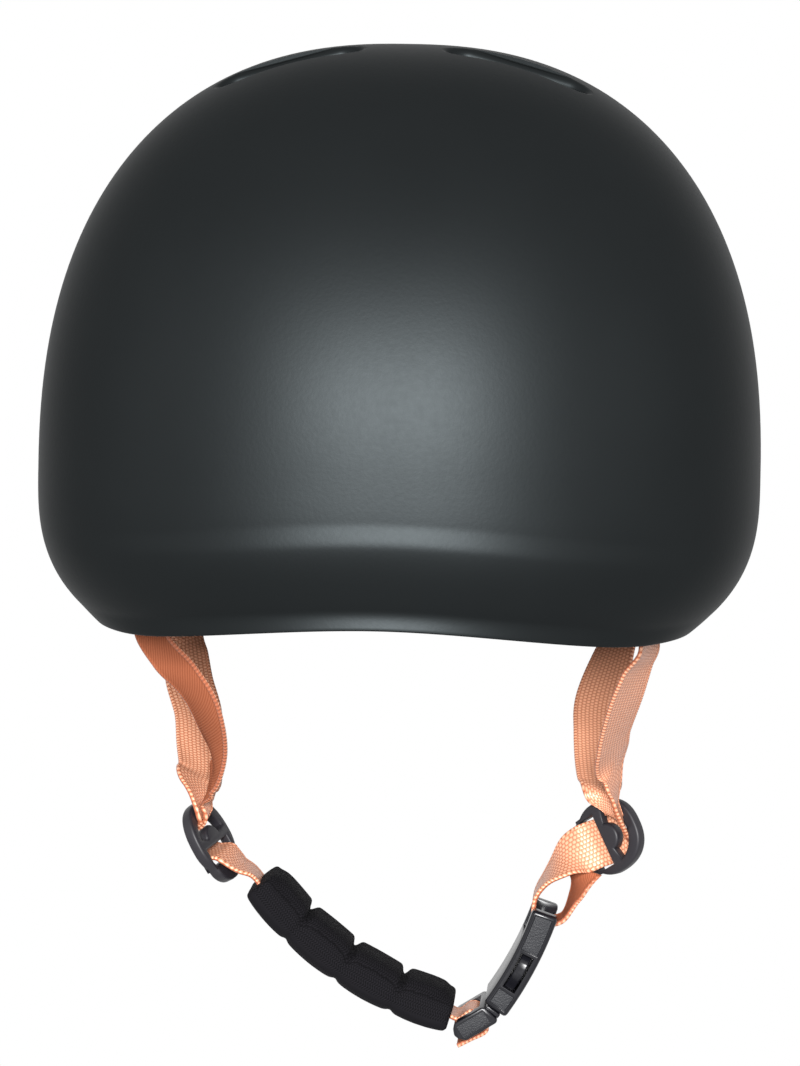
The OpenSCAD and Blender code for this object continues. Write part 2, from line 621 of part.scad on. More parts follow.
window_from = mouth_a + 7.5 * deg;
window_to = window_from + 12 * deg;
bay_to = window_to + 1.6 * deg;
socket_to = mouth_a + socket_len * deg;
bar_a = socket_to - 4 * deg;
web_cut_from = bar_a - 5.4 * deg;
half_bay = bay_w / 2;
bay_t = prong_t + 2 * prong_gap;
window_t = bay_t + 0.4;
cheek = web_w / 2 + 0.7;
module buckle_socket() {
    r0 = buckle_r - buckle_t / 2;
    r1 = buckle_r + buckle_t / 2;
    color("#1a1b1d") {
        difference() {
            arc_block(mouth_a, socket_to, r0, r1, -buckle_w / 2, buckle_w / 2);
            arc_block(mouth_a - 2, bay_to, buckle_r - bay_t / 2, buckle_r + bay_t / 2,
                      -half_bay, half_bay);
            arc_block(window_from, window_to, buckle_r - window_t / 2, buckle_r + window_t / 2,
                      -buckle_w, buckle_w);
            arc_block(web_cut_from, socket_to + 2, r0 - 1, r1 + 1, -cheek, cheek);
        }
        cross_bar(bar_a, buckle_r, bar_d, 2 * cheek + 1);
    }
}

// Prongs: each swings in on a round root and carries a bulge that fills its window
prong_w = 3.6;
root_d = prong_w;
root_a = mouth_a + 0.4 * deg;
prong_y = half_bay - prong_gap - prong_w / 2;
bulge_from = (window_from - root_a) / deg + prong_gap;
bulge_to = (window_to - root_a) / deg - prong_gap;
module prong() {
    t0 = buckle_r - prong_t / 2;
    t1 = buckle_r + prong_t / 2;
    out = prong_w / 2 + prong_gap + prong_bulge;
    arm = prong_w / 2 - 0.3;
    intersection() {
        arc_block(root_a - 2, window_to, t0, t1, -buckle_w, buckle_w);
        translate(round_pivot(root_a, 0)) rotate([0, 90 - root_a, 0]) linear_extrude(buckle_r + 20)
            translate([0, -prong_y]) {
                circle(d = root_d, $fn = fine);
                polygon([[0, arm], [-bulge_to, arm], [-bulge_to, -out * 0.4],
                         [-bulge_to + 1.5, -out * 0.85], [-bulge_to + 3.6, -out],
                         [-bulge_from - 5.2, -out], [-bulge_from, -prong_w / 2], [0, -arm]]);
            }
    }
}
module prong_front() {
    color("#202124") prong();
}
module prong_rear() {
    color("#202124") translate([0, pivot.y, 0]) mirror([0, 1, 0]) translate([0, -pivot.y, 0]) prong();
}

// Tongue: a base bent towards the chin pad, a head that closes the socket's mouth and seats the
// prongs, and a middle rail that guides it in the socket
base_len = 13.4;
base_t = 6.4;
base_dir = unit([-0.845, 0, -0.535]);
base_up = unit([-0.535, 0, 0.845]);
base_at = round_pivot(mouth_a - 1.3 * deg, buckle_r);
web_slot_from = 2.6;
web_slot_len = 3.4;
module buckle_tongue() {
    rail = 4.2;
    color("#1a1b1d") {
        difference() {
            union() {
                in_frame(base_at, base_dir, base_up) linear_extrude(buckle_w, center = true)
                    polygon([[-0.4, -base_t / 2 + 0.6], [0.4, -base_t / 2],
                             [base_len - 2.5, -base_t / 2], [base_len - 0.6, -base_t / 2 + 1.6],
                             [base_len, 0], [base_len - 0.8, base_t / 2 - 1.2],
                             [base_len - 2.2, base_t / 2], [1.8, base_t / 2],
                             [0.8, base_t / 2 - 0.8]]);
                arc_block(mouth_a - 1.6 * deg, mouth_a - 0.3 * deg, buckle_r - 2.4, buckle_r + 2.4,
                          -buckle_w / 2 + 1, buckle_w / 2 - 1);
                arc_block(mouth_a - 1 * deg, mouth_a + 2.4 * deg, buckle_r - prong_t / 2,
                          buckle_r + prong_t / 2, -half_bay + prong_gap, half_bay - prong_gap);
            }
            for (side = [-1, 1]) translate(round_pivot(root_a, 0)) rotate([0, 90 - root_a, 0])
                translate([0, side * prong_y, buckle_r - prong_t])
                    cylinder(h = 2 * prong_t, d = root_d + 0.4, $fn = fine);
            for (side = [0, 1]) translate([0, 2 * side * pivot.y, 0]) mirror([0, side, 0])
                arc_block(root_a, mouth_a + 4 * deg, buckle_r - prong_t, buckle_r + prong_t,
                          rail / 2 + 0.6, half_bay + 1);
            in_frame(base_at, base_dir, base_up) translate([0, 0, -cheek]) {
                translate([web_slot_from, -base_t, 0]) cube([web_slot_len, 2 * base_t, 2 * cheek]);
                for (low = [base_t / 2 - 1.4, -base_t / 2 - 2.6])
                    translate([web_slot_from + web_slot_len - 0.1, low, 0])
                        cube([base_len, 4, 2 * cheek]);
            }
        }
        arc_block(mouth_a + 2 * deg, window_to - 2 * deg, buckle_r - prong_t / 2,
                  buckle_r + prong_t / 2, -rail / 2, rail / 2);
    }
}

// Chin pad: a padded sleeve along an arc about chin_hub, with its webbing in the middle
chin_mid = [-14.95, -5, -103.72];
chin_mid_a = -123.2;
chin_r = 104;
chin_hub = chin_mid - chin_r * [cos(chin_mid_a), 0, sin(chin_mid_a)];
chin_deg = 180 / (PI * chin_r);
chin_from = chin_mid_a - chin_len / 2 * chin_deg;
chin_to = chin_mid_a + chin_len / 2 * chin_deg;
function chin_point(a, r, y) = [chin_hub.x + r * cos(a), chin_hub.y + y, chin_hub.z + r * sin(a)];
chin_rings = 5 * chin_segments;
chin_sides = 14;
module chin_pad() {
    function seg(s) = abs(sin(180 * chin_segments * s));
    function fat(s) = chin_t / 2 * (0.74 + 0.26 * pow(seg(s), 0.6));
    function wide(s) = chin_w / 2 * (0.95 + 0.05 * pow(seg(s), 0.6));
    function bulge(s) = [for (i = [0:chin_sides - 1]) let (a = 360 * i / chin_sides)
        [wide(s) * pow(abs(cos(a)), 0.55) * sign(cos(a)),
         fat(s) * pow(abs(sin(a)), 0.7) * sign(sin(a))]];
    bore = [for (i = [0:chin_sides - 1]) let (a = 360 * i / chin_sides)
        [(web_w / 2 + web_gap) * pow(abs(cos(a)), 0.2) * sign(cos(a)),
         (web_t / 2 + web_gap) * pow(abs(sin(a)), 0.2) * sign(sin(a))]];
    function place(shape, s) = [for (c = shape)
        chin_point(mix(chin_from, chin_to, s), chin_r + c[1], c[0])];
    shares = [for (i = [0:chin_rings]) i / chin_rings];
    outer = [for (s = shares) place(bulge(s), s)];
    inner = [for (i = [chin_rings:-1:0]) place(bore, i / chin_rings)];
    color("#161617") closed_loop(concat(outer, inner));
}

// Webbing of the right side: behind the divider's bar, through its lower slot, along the chin
// pad, over the tongue's base, round its bar and back under it
function base_point(along, up) = base_at + base_dir * along + base_up * up;
chin_web_steps = 8;
lip_end = [[[0, -6.4, 3.3], [1, 0, -0.05]], [[0.9, -10.4, 4.7], [0.98, 0, -0.18]]];
function chin_web_right() = concat(divider_pass(right_divider), leaning(right_divider, lip_end),
    [for (i = [0:chin_web_steps]) let (a = mix(chin_from - 1, chin_to - 1.2, i / chin_web_steps))
        facing(chin_point(a, chin_r, 0), [0, 1, 0])],
    [for (s = [[base_len - 3, base_t / 2 - 0.4], [web_slot_from + 3.6, base_t / 2 - 0.2],
               [web_slot_from + 1.9, base_t / 2 - 1.6], [web_slot_from + 1.5, 0],
               [web_slot_from + 1.7, -base_t / 2 - 0.5], [web_slot_from + 3.4, -base_t / 2 - 1.6],
               [base_len - 3, -base_t / 2 - 1.2], [base_len + 1.5, -base_t / 2 - 0.9]])
        facing(base_point(s[0], s[1]), [0, 1, 0])]);
module chin_strap_right() {
    color("#c98a6c") strip(curve(chin_web_right()), web_w, web_t);
}

// Webbing of the left side: behind the divider's bar, through its lower slot, down to the
// socket, round its bar and back up to where it is sewn to itself
function socket_loop() = [for (a = [90, 135, 180, 225, 270]) facing(round_pivot(bar_a, buckle_r)
    + loop_r * [cos(bar_a + 90 + a), 0, sin(bar_a + 90 + a)], [0, -1, 0])];
over_lip = [[[0, -6.6, 4], flat], [[0, -9.6, 5.6], [0.93, 0.25, 0.2]],
            [[0.9, -13.6, 8], [0.68, 0.5, 0.5]], [[2.8, -19, 10.3], [0.4, 0.55, 0.72]]];
under_lip = [[[11.4, -17, 4.9], [0.42, 0.55, 0.7]], [[8.6, -13.8, 4.2], [0.62, 0.5, 0.58]]];
loop_enters = [[43.4, -5, -81, -90]];
loop_leaves = [[52, -5, -87.6, -90]];
function chin_web_left() = concat(
    divider_pass(left_divider), leaning(left_divider, over_lip), stations(loop_enters),
    socket_loop(), stations(loop_leaves), leaning(left_divider, under_lip));
module chin_strap_left() {
    color("#c98a6c") strip(curve(chin_web_left()), web_w, web_t);
}

// Pins pushed into the foam, and the holes they go through
module pin(head_at) {
    translate([0, 0, -pin_len]) cylinder(h = pin_len + head_at, d = pin_d, $fn = fine);
    translate([0, 0, head_at]) cylinder(h = pin_head_t, d = pin_head_d, $fn = fine);
}
module pin_hole(sides) {
    translate([0, 0, -pin_len - 0.2]) cylinder(h = 2 * pin_len, d = pin_d + pin_play, $fn = sides);
}

// Fit band round the brow, and the pins that hold it, the arms and the spine
module pin_place(b) {
    p = head_point(b, band_z(b), 0);
    s = head_point(b + 1, band_z(b), 0);
    in_frame(p, unit(s - p), [0, 0, 1]) mirror([0, 0, 1]) children();
}
band_past_pin = 8;
band_reach = temple_b + band_past_pin;
function band_run(from, to, steps, depth) = [for (i = [0:steps])
    let (b = mix(from, to, i / steps)) head_point(b, band_z(b), depth)];
module front_band() {
    color("#1f2022") difference() {
        strip(band_run(-band_reach, band_reach, 36, band_depth), band_h, band_t);
        for (b = pin_bearings) pin_place(b) pin_hole(fine);
    }
}
arm_depth = band_depth + band_t + 0.4;
module band_pins() {
    color("#2a2b2d") {
        for (b = pin_bearings) pin_place(b)
            pin((abs(b) > 90 ? arm_depth : band_depth) + band_t / 2 + pin_play);
        spine_pin_place() pin(spine_seat);
    }
}

// Flexible side arms from the temple pins to the racks. They bend as the racks travel.
arm_end = [[48, 80.4], [42.6, 83.2], [37.2, 84]];
arm_bearings = [90, 96, 104, 114, 124, 134];
function arm_run() = concat([for (b = arm_bearings)
        head_point(b, mix(band_z(temple_b), dial_z, smooth((b - temple_b + 4) / 60)),
                   arm_depth + 3 * smooth((b - temple_b - 4) / 40))],
    [for (e = arm_end) [e[0], e[1], dial_z]]);
module arm() {
    difference() {
        strip(curve(arm_run()), band_h, band_t);
        pin_place(temple_b) pin_hole(fine);
    }
}
module arm_left() {
    color("#1f2022") arm();
}
module arm_right() {
    color("#1f2022") mirror([1, 0, 0]) arm();
}

// The dial's frame: its middle on the housing's back face, depth running towards the head
dial_y = 93;
module at_dial(depth) {
    in_frame([0, dial_y - depth, dial_z], [1, 0, 0], [0, 0, 1]) children();
}
pitch_r = tooth_m * pinion_teeth / 2;
pitch = PI * tooth_m;
tooth_out = 0.8 * tooth_m;
tooth_in = 0.95 * tooth_m;
tooth_half = 0.22 * pitch;
rack_t = 3.6;
rack_play = 0.3;
rack_back = pitch_r + tooth_in + 3.2;
housing_wall = 2.8;
housing_depth = housing_wall + rack_t + 2 * rack_play;
housing_half_h = rack_back + rack_play + 2.2;
rack_tail = 1.5 * pitch + 0.6;
tab_from = housing_half_w + rack_travel + 0.8;
tab_to = tab_from + 6;

// Rack: teeth below a straight bar, and a tab outside the housing that the arm's end lies on
module rack() {
    function tooth(x) = [[x + tooth_half + tooth_in * 0.364, pitch_r + tooth_in],
                         [x + tooth_half - tooth_out * 0.364, pitch_r - tooth_out],
                         [x - tooth_half + tooth_out * 0.364, pitch_r - tooth_out],
                         [x - tooth_half - tooth_in * 0.364, pitch_r + tooth_in]];
    at_dial(housing_wall + rack_play) {
        linear_extrude(rack_t) polygon(concat(
            [for (i = [5:-1:-2]) each tooth((i + 0.5) * pitch)],
            [[-rack_tail, pitch_r + tooth_in], [-rack_tail, rack_back], [tab_to, rack_back],
             [tab_to, pitch_r + tooth_in]]));
        translate([0, 0, rack_t - 1.8]) linear_extrude(1.8)
            polygon([[tab_from, -band_h / 2], [tab_to, -band_h / 2], [tab_to, rack_back - 0.5],
                     [tab_from, rack_back - 0.5]]);
    }
}
module rack_left() {
    color("#2a2b2e") rack();
}
module rack_right() {
    color("#2a2b2e") at_dial(0) rotate([0, 0, 180]) at_dial_back() rack();
}
// Takes a shape from the part's frame back into the dial's own
module at_dial_back() {
    rotate([-90, 0, 0]) translate([0, -dial_y, -dial_z]) children();
}

// Housing of the dial: a plate with two rack channels, a pinion well and the shaft's bore
screw_x = 15;
screw_d = 2.6;
shaft_d = 7;
shaft_play = 0.1;
module housing_outline() {
    r = 4;
    polygon([for (c = [[1, 1, 0], [-1, 1, 90], [-1, -1, 180], [1, -1, 270]], i = [0:6])
        let (a = c[2] + 15 * i)
        [c[0] * (housing_half_w - r) + r * cos(a), c[1] * (housing_half_h - r) + r * sin(a)]]);
}
module dial_housing() {
    slot_low = pitch_r - tooth_out - rack_play;
    slot_high = rack_back + rack_play;
    color("#1e1f21") at_dial(0) difference() {
        linear_extrude(housing_depth) housing_outline();
        for (turn = [0, 180]) rotate([0, 0, turn])
            translate([-rack_tail - rack_travel - 1.5, slot_low, housing_wall])
                cube([100, slot_high - slot_low, housing_depth]);
        translate([0, 0, housing_wall])
            cylinder(h = housing_depth, r = pitch_r + tooth_out + 0.5, $fn = fine);
        translate([0, 0, -1]) cylinder(h = housing_depth, d = shaft_d + 2 * shaft_play, $fn = fine);
        for (x = [-screw_x, screw_x]) translate([x, 0, 1])
            cylinder(h = housing_depth, d = screw_d, $fn = fine);
    }
}
cover_t = 1.9;
module housing_cover() {
    color("#1e1f21") at_dial(housing_depth) difference() {
        linear_extrude(cover_t) housing_outline();
        for (x = [-screw_x, screw_x]) translate([x, 0, -1]) {
            cylinder(h = cover_t + 2, d = screw_d + 0.4, $fn = fine);
            translate([0, 0, 1.9]) cylinder(h = cover_t, d = 5.4, $fn = fine);
        }
    }
}
module housing_screws() {
    color("#8d8f92") for (x = [-screw_x, screw_x]) at_dial(0) translate([x, 0, 1.2]) {
        cylinder(h = housing_depth + cover_t - 1.9, d = screw_d, $fn = fine);
        translate([0, 0, housing_depth - 0.2]) difference() {
            cylinder(h = 0.9, d = 5.2, $fn = fine);
            translate([-1.8, -0.3, 0.4]) cube([3.6, 0.6, 1]);
            translate([-0.3, -1.8, 0.4]) cube([0.6, 3.6, 1]);
        }
    }
}

// Pinion with its shaft, which the knob sits on
knob_h = 9.6;
knob_gap = 0.4;
shaft_in = 5;
module dial_pinion() {
    flank = [[-0.95, 0.62], [-0.4, 0.72], [0, 0.66], [0.4, 0.5], [0.8, 0.27]];
    corners = concat([for (f = flank) [f.x, -f.y]], [for (i = [4:-1:0]) flank[i]]);
    function gear_tooth(a) = [for (c = corners) let (r = pitch_r + c.x * tooth_m, w = c.y * tooth_m)
        [r * cos(a) - w * sin(a), r * sin(a) + w * cos(a)]];
    color("#3a3b3e") at_dial(0) difference() {
        union() {
            translate([0, 0, housing_wall + rack_play]) linear_extrude(rack_t - 0.1)
                polygon([for (i = [0:pinion_teeth - 1]) each gear_tooth(90 + 360 * i / pinion_teeth)]);
            translate([0, 0, -knob_gap - shaft_in])
                cylinder(h = knob_gap + shaft_in + housing_wall + rack_play + 0.5, d = shaft_d,
                         $fn = fine);
        }
        translate([0, 0, -20]) cylinder(h = 40, d = screw_d + 0.1, $fn = fine);
        translate([0, 0, housing_wall + rack_play + rack_t - 1.7]) cylinder(h = 4, d = 5.2, $fn = fine);
    }
}
module dial_screw() {
    top = housing_wall + rack_play + rack_t - 0.3;
    color("#8d8f92") at_dial(0) difference() {
        union() {
            translate([0, 0, top - 1.4]) cylinder(h = 1.4, d = 5, $fn = fine);
            translate([0, 0, -knob_gap - shaft_in - 2.6])
                cylinder(h = top + knob_gap + shaft_in + 2, d = screw_d, $fn = fine);
        }
        translate([-1.7, -0.3, top - 0.6]) cube([3.4, 0.6, 1]);
        translate([-0.3, -1.7, top - 0.6]) cube([0.6, 3.4, 1]);
    }
}
grips = 12;
clicks = 24;
well_r = 9.4;
well_h = 4;
module dial_knob() {
    r = dial_d / 2;
    color("#1c1d1f") at_dial(0) rotate([180, 0, 0]) translate([0, 0, knob_gap]) difference() {
        rotate_extrude($fn = 120)
            polygon([[0, 0], [r - 0.6, 0], [r, 0.6], [r, knob_h - 2.2], [r - 0.9, knob_h - 0.7],
                     [r - 2.4, knob_h], [r - 5, knob_h], [r - 6.5, knob_h - 0.8],
                     [0, knob_h - 0.8]]);
        for (i = [0:grips - 1]) rotate([0, 0, 360 * (i + 0.5) / grips]) translate([r + 1.5, 0, -1])
            cylinder(h = knob_h + 2, d = 5, $fn = fine);
        difference() {
            translate([0, 0, -1]) cylinder(h = well_h + 1, r = well_r, $fn = fine);
            translate([0, 0, -2]) cylinder(h = well_h + 3, r = 5, $fn = fine);
        }
        for (i = [0:clicks - 1]) rotate([0, 0, 360 * i / clicks]) translate([well_r, 0, -1])
            cylinder(h = well_h + 1, d = 1.3, $fn = 24);
        translate([0, 0, -1]) cylinder(h = shaft_in + 1.05, d = shaft_d + 0.1, $fn = fine);
        translate([0, 0, -1]) cylinder(h = shaft_in + 3.8, d = screw_d + 0.1, $fn = fine);
    }
}

// Ring of the clicks, fixed on the housing inside the knob, with two nibs that ride the notches
module detent_ring() {
    color("#4a4b4e") at_dial(0) rotate([180, 0, 0]) {
        difference() {
            cylinder(h = 2.6, r = 7.4, $fn = fine);
            translate([0, 0, -1]) cylinder(h = 5, r = 5.5, $fn = fine);
        }
        for (a = [0, 180]) rotate([0, 0, a + 180 / clicks]) {
            translate([8.1, 0, 0]) cylinder(h = 2.6, r = 0.9, $fn = 24);
            translate([6.8, -0.9, 0]) cube([1.3, 1.8, 2.6]);
        }
    }
}

// Upright spine that carries the housing from the foam's back wall
spine_w = 14;
spine_pin_z = 44;
spine_gap = 0.9;
spine_seat = spine_gap + band_t + 0.7;
module cradle_spine() {
    top = dial_z + housing_half_h + 0.3;
    y = dial_y - 2.4;
    function wall(z) = head_back * head_f(z) - band_t / 2 - spine_gap;
    color("#1f2022") difference() {
        strip(curve([for (s = [[y, top], [y + 0.6, top + 6], [wall(34) - 3, 28], [wall(38), 37],
                               [wall(45), 44], [wall(52), 51]])
            facing([0, s[0], s[1]], [1, 0, 0])]), spine_w, band_t);
        spine_pin_place() pin_hole(fine);
    }
}
module spine_pin_place() {
    in_frame([0, head_back, spine_pin_z], [1, 0, 0], [0, 0, 1]) children();
}

// Nape pad on the cover, crowned, with one sewn channel down its middle
nape_t = 6;
nape_steps = [16, 6];
module nape_pad() {
    half = [housing_half_w - 2, housing_half_h - 1];
    base = dial_y - housing_depth - cover_t - 0.4;
    function at(u, v, t) = [mix(-half.x, half.x, u), base - t, dial_z + mix(-half.y, half.y, v)];
    function thick(u, v) = nape_t * puff(u, v, [0.5]) + 0.5 * (1 - pow(2 * v - 1, 2));
    color("#1a1a1c") open_run([for (i = [0:nape_steps.x]) let (u = i / nape_steps.x)
        concat([for (k = [0:nape_steps.y]) let (v = k / nape_steps.y) at(u, v, thick(u, v))],
               [at(u, 1, 0), at(u, 0, 0)])]);
}

outer_shell();
foam_liner();
edge_strip();
brow_pad();
crown_pad();
side_pad_left();
side_pad_right();
nape_pad();
hook_dots();
front_anchor_left();
front_anchor_right();
rear_anchor_left();
rear_anchor_right();
front_strap_left();
front_strap_right();
rear_strap_left();
rear_strap_right();
divider_left();
divider_right();
chin_strap_left();
chin_strap_right();
chin_pad();
buckle_socket();
buckle_tongue();
prong_front();
prong_rear();
front_band();
band_pins();
arm_left();
arm_right();
rack_left();
rack_right();
dial_housing();
housing_cover();
housing_screws();
cradle_spine();
dial_knob();
dial_pinion();
dial_screw();
detent_ring();
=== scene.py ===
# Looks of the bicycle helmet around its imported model. Lengths are millimetres until a mesh is
# made, and the frame is the part's own: +Z up, -Y the front, +X the wearer's left.
from math import cos, pi, radians, sin, sqrt

import bmesh
import bpy
import numpy as np
from mathutils import Matrix, Vector


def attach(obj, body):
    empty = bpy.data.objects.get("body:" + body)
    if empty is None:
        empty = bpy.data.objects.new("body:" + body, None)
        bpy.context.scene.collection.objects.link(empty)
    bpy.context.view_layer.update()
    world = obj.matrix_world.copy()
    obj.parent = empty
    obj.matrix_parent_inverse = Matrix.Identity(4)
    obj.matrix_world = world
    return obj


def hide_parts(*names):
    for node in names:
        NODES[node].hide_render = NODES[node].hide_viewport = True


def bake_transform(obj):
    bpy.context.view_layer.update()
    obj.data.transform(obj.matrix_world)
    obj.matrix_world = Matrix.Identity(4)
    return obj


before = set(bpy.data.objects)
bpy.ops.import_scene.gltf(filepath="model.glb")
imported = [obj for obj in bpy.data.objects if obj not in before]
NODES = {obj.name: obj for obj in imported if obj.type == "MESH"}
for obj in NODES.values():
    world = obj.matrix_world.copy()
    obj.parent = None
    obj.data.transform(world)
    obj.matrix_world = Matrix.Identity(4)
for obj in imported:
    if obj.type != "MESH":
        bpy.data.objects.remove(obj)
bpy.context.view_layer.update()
SCENE = bpy.context.scene
MM = 0.001

# Driving sizes of the shell, as in the construction
HALF_W, FRONT_LEN, BACK_LEN = 108, 128, 138
WIDEST_Z, CROWN_H = 46.5, 129.5
PLAN_N, DOME_N, TUCK_N = 2.54, 2.39, 2.75
SHELL_WALL = 3
TUCK_SIDE, TUCK_FRONT, TUCK_BACK = 58, 64, 84.5
RIM_FRONT, RIM_CORNER, RIM_SIDE, RIM_BACK, DIAL_NOTCH = 10, 3.4, 3, -7, 26
LIP_FLARE, BROW_STEP, CREASE_H, LIP_H = 4.5, 2.6, 25, 6
RIDGE, ROLL_H = 0.9, 21
RIM_ROUND, SLOT_W, SLOT_LIP = 1.3, 12, 2.2
LINER_DEPTH, LINER_RISE, LINER_ROUND = 3.3, 3, 3
HEAD_HALF_W, HEAD_FRONT, HEAD_BACK, HEAD_TOP = 77, 98, 104, 147
HEAD_N, HEAD_WALL_Z = 2.3, 35
CHANNEL_R, CHANNEL_X = 7, 30
CHANNEL_YS = (-58, -36, -8, 22, 50, 72)
PAD_THICK, PAD_GAP = 7, 1.5

# Straps, dividers, buckle
WEB_W, WEB_T, WEB_GAP, BAR_D, WEB_STEP = 15, 1.4, 0.35, 3.2, 0.6
DIVIDER_T, DIVIDER_W, DIVIDER_H = 3.6, 22.5, 26
LOOP_R = BAR_D / 2 + WEB_GAP + WEB_T / 2
ANCHOR_Z, ANCHOR_W, ANCHOR_H, ANCHOR_GAP = 17, 19.4, 9, 0.4
ANCHOR_DEPTH = 2 * (LOOP_R + WEB_T / 2 + WEB_GAP + 1.2)
ROOTS = {"front_left": (75.6, -52, 6, 72), "rear_left": (71.5, 53, 6, 120),
         "front_right": (-73, -54, 6, -62), "rear_right": (-72.04, 49.5, 6, 57)}


# Helpers for numbers
def smooth(t):
    u = np.clip(t, 0, 1)
    return u * u * (3 - 2 * u)


def mix(a, b, t):
    return a + (b - a) * t


def unit(v):
    v = np.asarray(v, float)
    return v / np.linalg.norm(v, axis=-1, keepdims=True)


def bell(t):
    return np.exp(-t * t)


def around(step):
    """The angles of a full turn, in radians, in steps of so many degrees."""
    return np.radians(np.arange(0, 360, step))


def power(v, n):
    return np.sign(v) * np.abs(v) ** n


# The dome, from its bearing in radians round the head and its height
def oval(b, side, front, back, n):
    ends = np.where(np.cos(b) > 0, front, back)
    return (np.abs(np.sin(b) / side) ** n + np.abs(np.cos(b) / ends) ** n) ** (-1 / n)


def plan_r(b):
    return oval(b, HALF_W, FRONT_LEN, BACK_LEN, PLAN_N)


def tuck(b):
    return mix(TUCK_SIDE, np.where(np.cos(b) > 0, TUCK_FRONT, TUCK_BACK), np.cos(b) ** 2)


def off_front(b):
    """How many degrees a bearing is away from the front."""
    return np.abs(np.degrees(np.arctan2(np.sin(b), np.cos(b))))


def rim_z(b):
    d = off_front(b)
    fore = mix(RIM_FRONT, RIM_CORNER, smooth(d / 45))
    side = mix(RIM_CORNER, RIM_SIDE, smooth((d - 45) / 45))
    rear = mix(RIM_SIDE, RIM_BACK, smooth((d - 90) / 45)) + DIAL_NOTCH * smooth((d - 148) / 22)
    return np.where(d < 45, fore, np.where(d < 90, side, rear))


def front_off(b, h):
    """How far the brow's crease and lip leave the dome, at a height over the rim."""
    d = off_front(b)
    lip = LIP_FLARE * np.maximum(0, 1 - h / LIP_H) ** 1.3
    roll = (RIDGE + BROW_STEP) * smooth((CREASE_H - 0.5 - h) / ROLL_H)
    crease = RIDGE * smooth((CREASE_H + 6 - h) / 7) - roll
    return smooth((80 - d) / 55) * lip + smooth((66 - d) / 46) * crease


def polar(b, r, z):
    b, r, z = np.broadcast_arrays(b, r, z)
    return np.stack([r * np.sin(b), -r * np.cos(b), z], -1)


def dome_point(b, z):
    low = z < WIDEST_Z
    n = np.where(low, TUCK_N, DOME_N)
    q = np.where(low, (WIDEST_Z - z) / tuck(b), (z - WIDEST_Z) / CROWN_H)
    f = np.maximum(0, 1 - np.minimum(1, q) ** n) ** (1 / n)
    return polar(b, plan_r(b) * f + front_off(b, z - rim_z(b)), z)


def dome_field(p):
    b = np.arctan2(p[..., 0], -p[..., 1])
    low = p[..., 2] < WIDEST_Z
    h, n = np.where(low, tuck(b), CROWN_H), np.where(low, TUCK_N, DOME_N)
    flat = np.hypot(p[..., 0], p[..., 1]) / plan_r(b)
    return flat ** n + np.abs((p[..., 2] - WIDEST_Z) / h) ** n


def dome_normal(p):
    steps = 0.01 * np.eye(3)
    return unit(np.stack([dome_field(p + e) - dome_field(p - e) for e in steps], -1))


def inset(p, depth):
    return p - np.asarray(depth)[..., None] * dome_normal(p)


def top_z(x, y):
    f = np.hypot(x, y) / plan_r(np.arctan2(x, -y))
    return WIDEST_Z + CROWN_H * (1 - f ** DOME_N) ** (1 / DOME_N)


# The head space
def head_r(b):
    return oval(b, HEAD_HALF_W, HEAD_FRONT, HEAD_BACK, HEAD_N)


def head_point(b, z, depth=0.0):
    t = np.clip((z - HEAD_WALL_Z) / (HEAD_TOP - HEAD_WALL_Z), 0, 1)
    return polar(b, head_r(b) * (1 - t ** HEAD_N) ** (1 / HEAD_N) - depth, z)


def head_top_point(x, y, depth=0.0):
    f = np.hypot(x, y) / head_r(np.arctan2(x, -y))
    z = HEAD_WALL_Z + (HEAD_TOP - HEAD_WALL_Z) * (1 - f ** HEAD_N) ** (1 / HEAD_N)
    return np.stack(np.broadcast_arrays(x, y, z - depth), -1)


def foam_low(b):
    low = dome_point(b, mix(rim_z(b), WIDEST_Z, 0.1))
    return np.maximum(rim_z(b) + LINER_RISE, inset(low, LINER_DEPTH)[..., 2])


# Helpers for meshes
def linked(name, data):
    obj = bpy.data.objects.new(name, data)
    SCENE.collection.objects.link(obj)
    return obj


def made(name, points, faces, sharp=40):
    mesh = bpy.data.meshes.new(name)
    mesh.from_pydata((np.asarray(points, float).reshape(-1, 3) * MM).tolist(), [], faces)
    mesh.update()
    return outward(shade(linked(name, mesh), sharp))


def shade(obj, sharp=40):
    for face in obj.data.polygons:
        face.use_smooth = True
    obj.data.set_sharp_from_angle(angle=radians(sharp))
    return obj


def coords(obj):
    co = np.empty(len(obj.data.vertices) * 3)
    obj.data.vertices.foreach_get("co", co)
    return co.reshape(-1, 3) / MM


def set_coords(obj, co):
    obj.data.vertices.foreach_set("co", (co * MM).reshape(-1))
    obj.data.update()


def weave(obj, rows):
    """The cloth's own coordinates: two in its face and one that tells its sides apart."""
    data = obj.data.attributes.new("weave", "FLOAT_VECTOR", "POINT")
    data.data.foreach_set("vector", np.asarray(rows, np.float32).reshape(-1))
    return obj


def net(rows, cols, start=0, wrap=True, flip=False):
    faces = []
    for i in range(rows - 1):
        for j in range(cols if wrap else cols - 1):
            k = (j + 1) % cols
            a, b = start + i * cols, start + (i + 1) * cols
            quad = (a + j, a + k, b + k, b + j)
            faces.append(quad[::-1] if flip else quad)
    return faces


def given(thing, **settings):
    for key, value in settings.items():
        setattr(thing, key, value)
    return thing


def modified(obj, kind, **settings):
    return given(obj.modifiers.new(kind.lower(), kind), **settings)


def evaluated(obj):
    return obj.evaluated_get(bpy.context.evaluated_depsgraph_get())


def settled(obj):
    """The object with its modifiers made part of its mesh."""
    mesh = bpy.data.meshes.new_from_object(evaluated(obj))
    obj.modifiers.clear()
    obj.data = mesh
    return obj


def cut(obj, cutters):
    for cutter in cutters:
        modified(obj, "BOOLEAN", operation="DIFFERENCE", solver="EXACT", object=cutter)
    settled(obj)
    for cutter in cutters:
        bpy.data.objects.remove(cutter)
    return obj


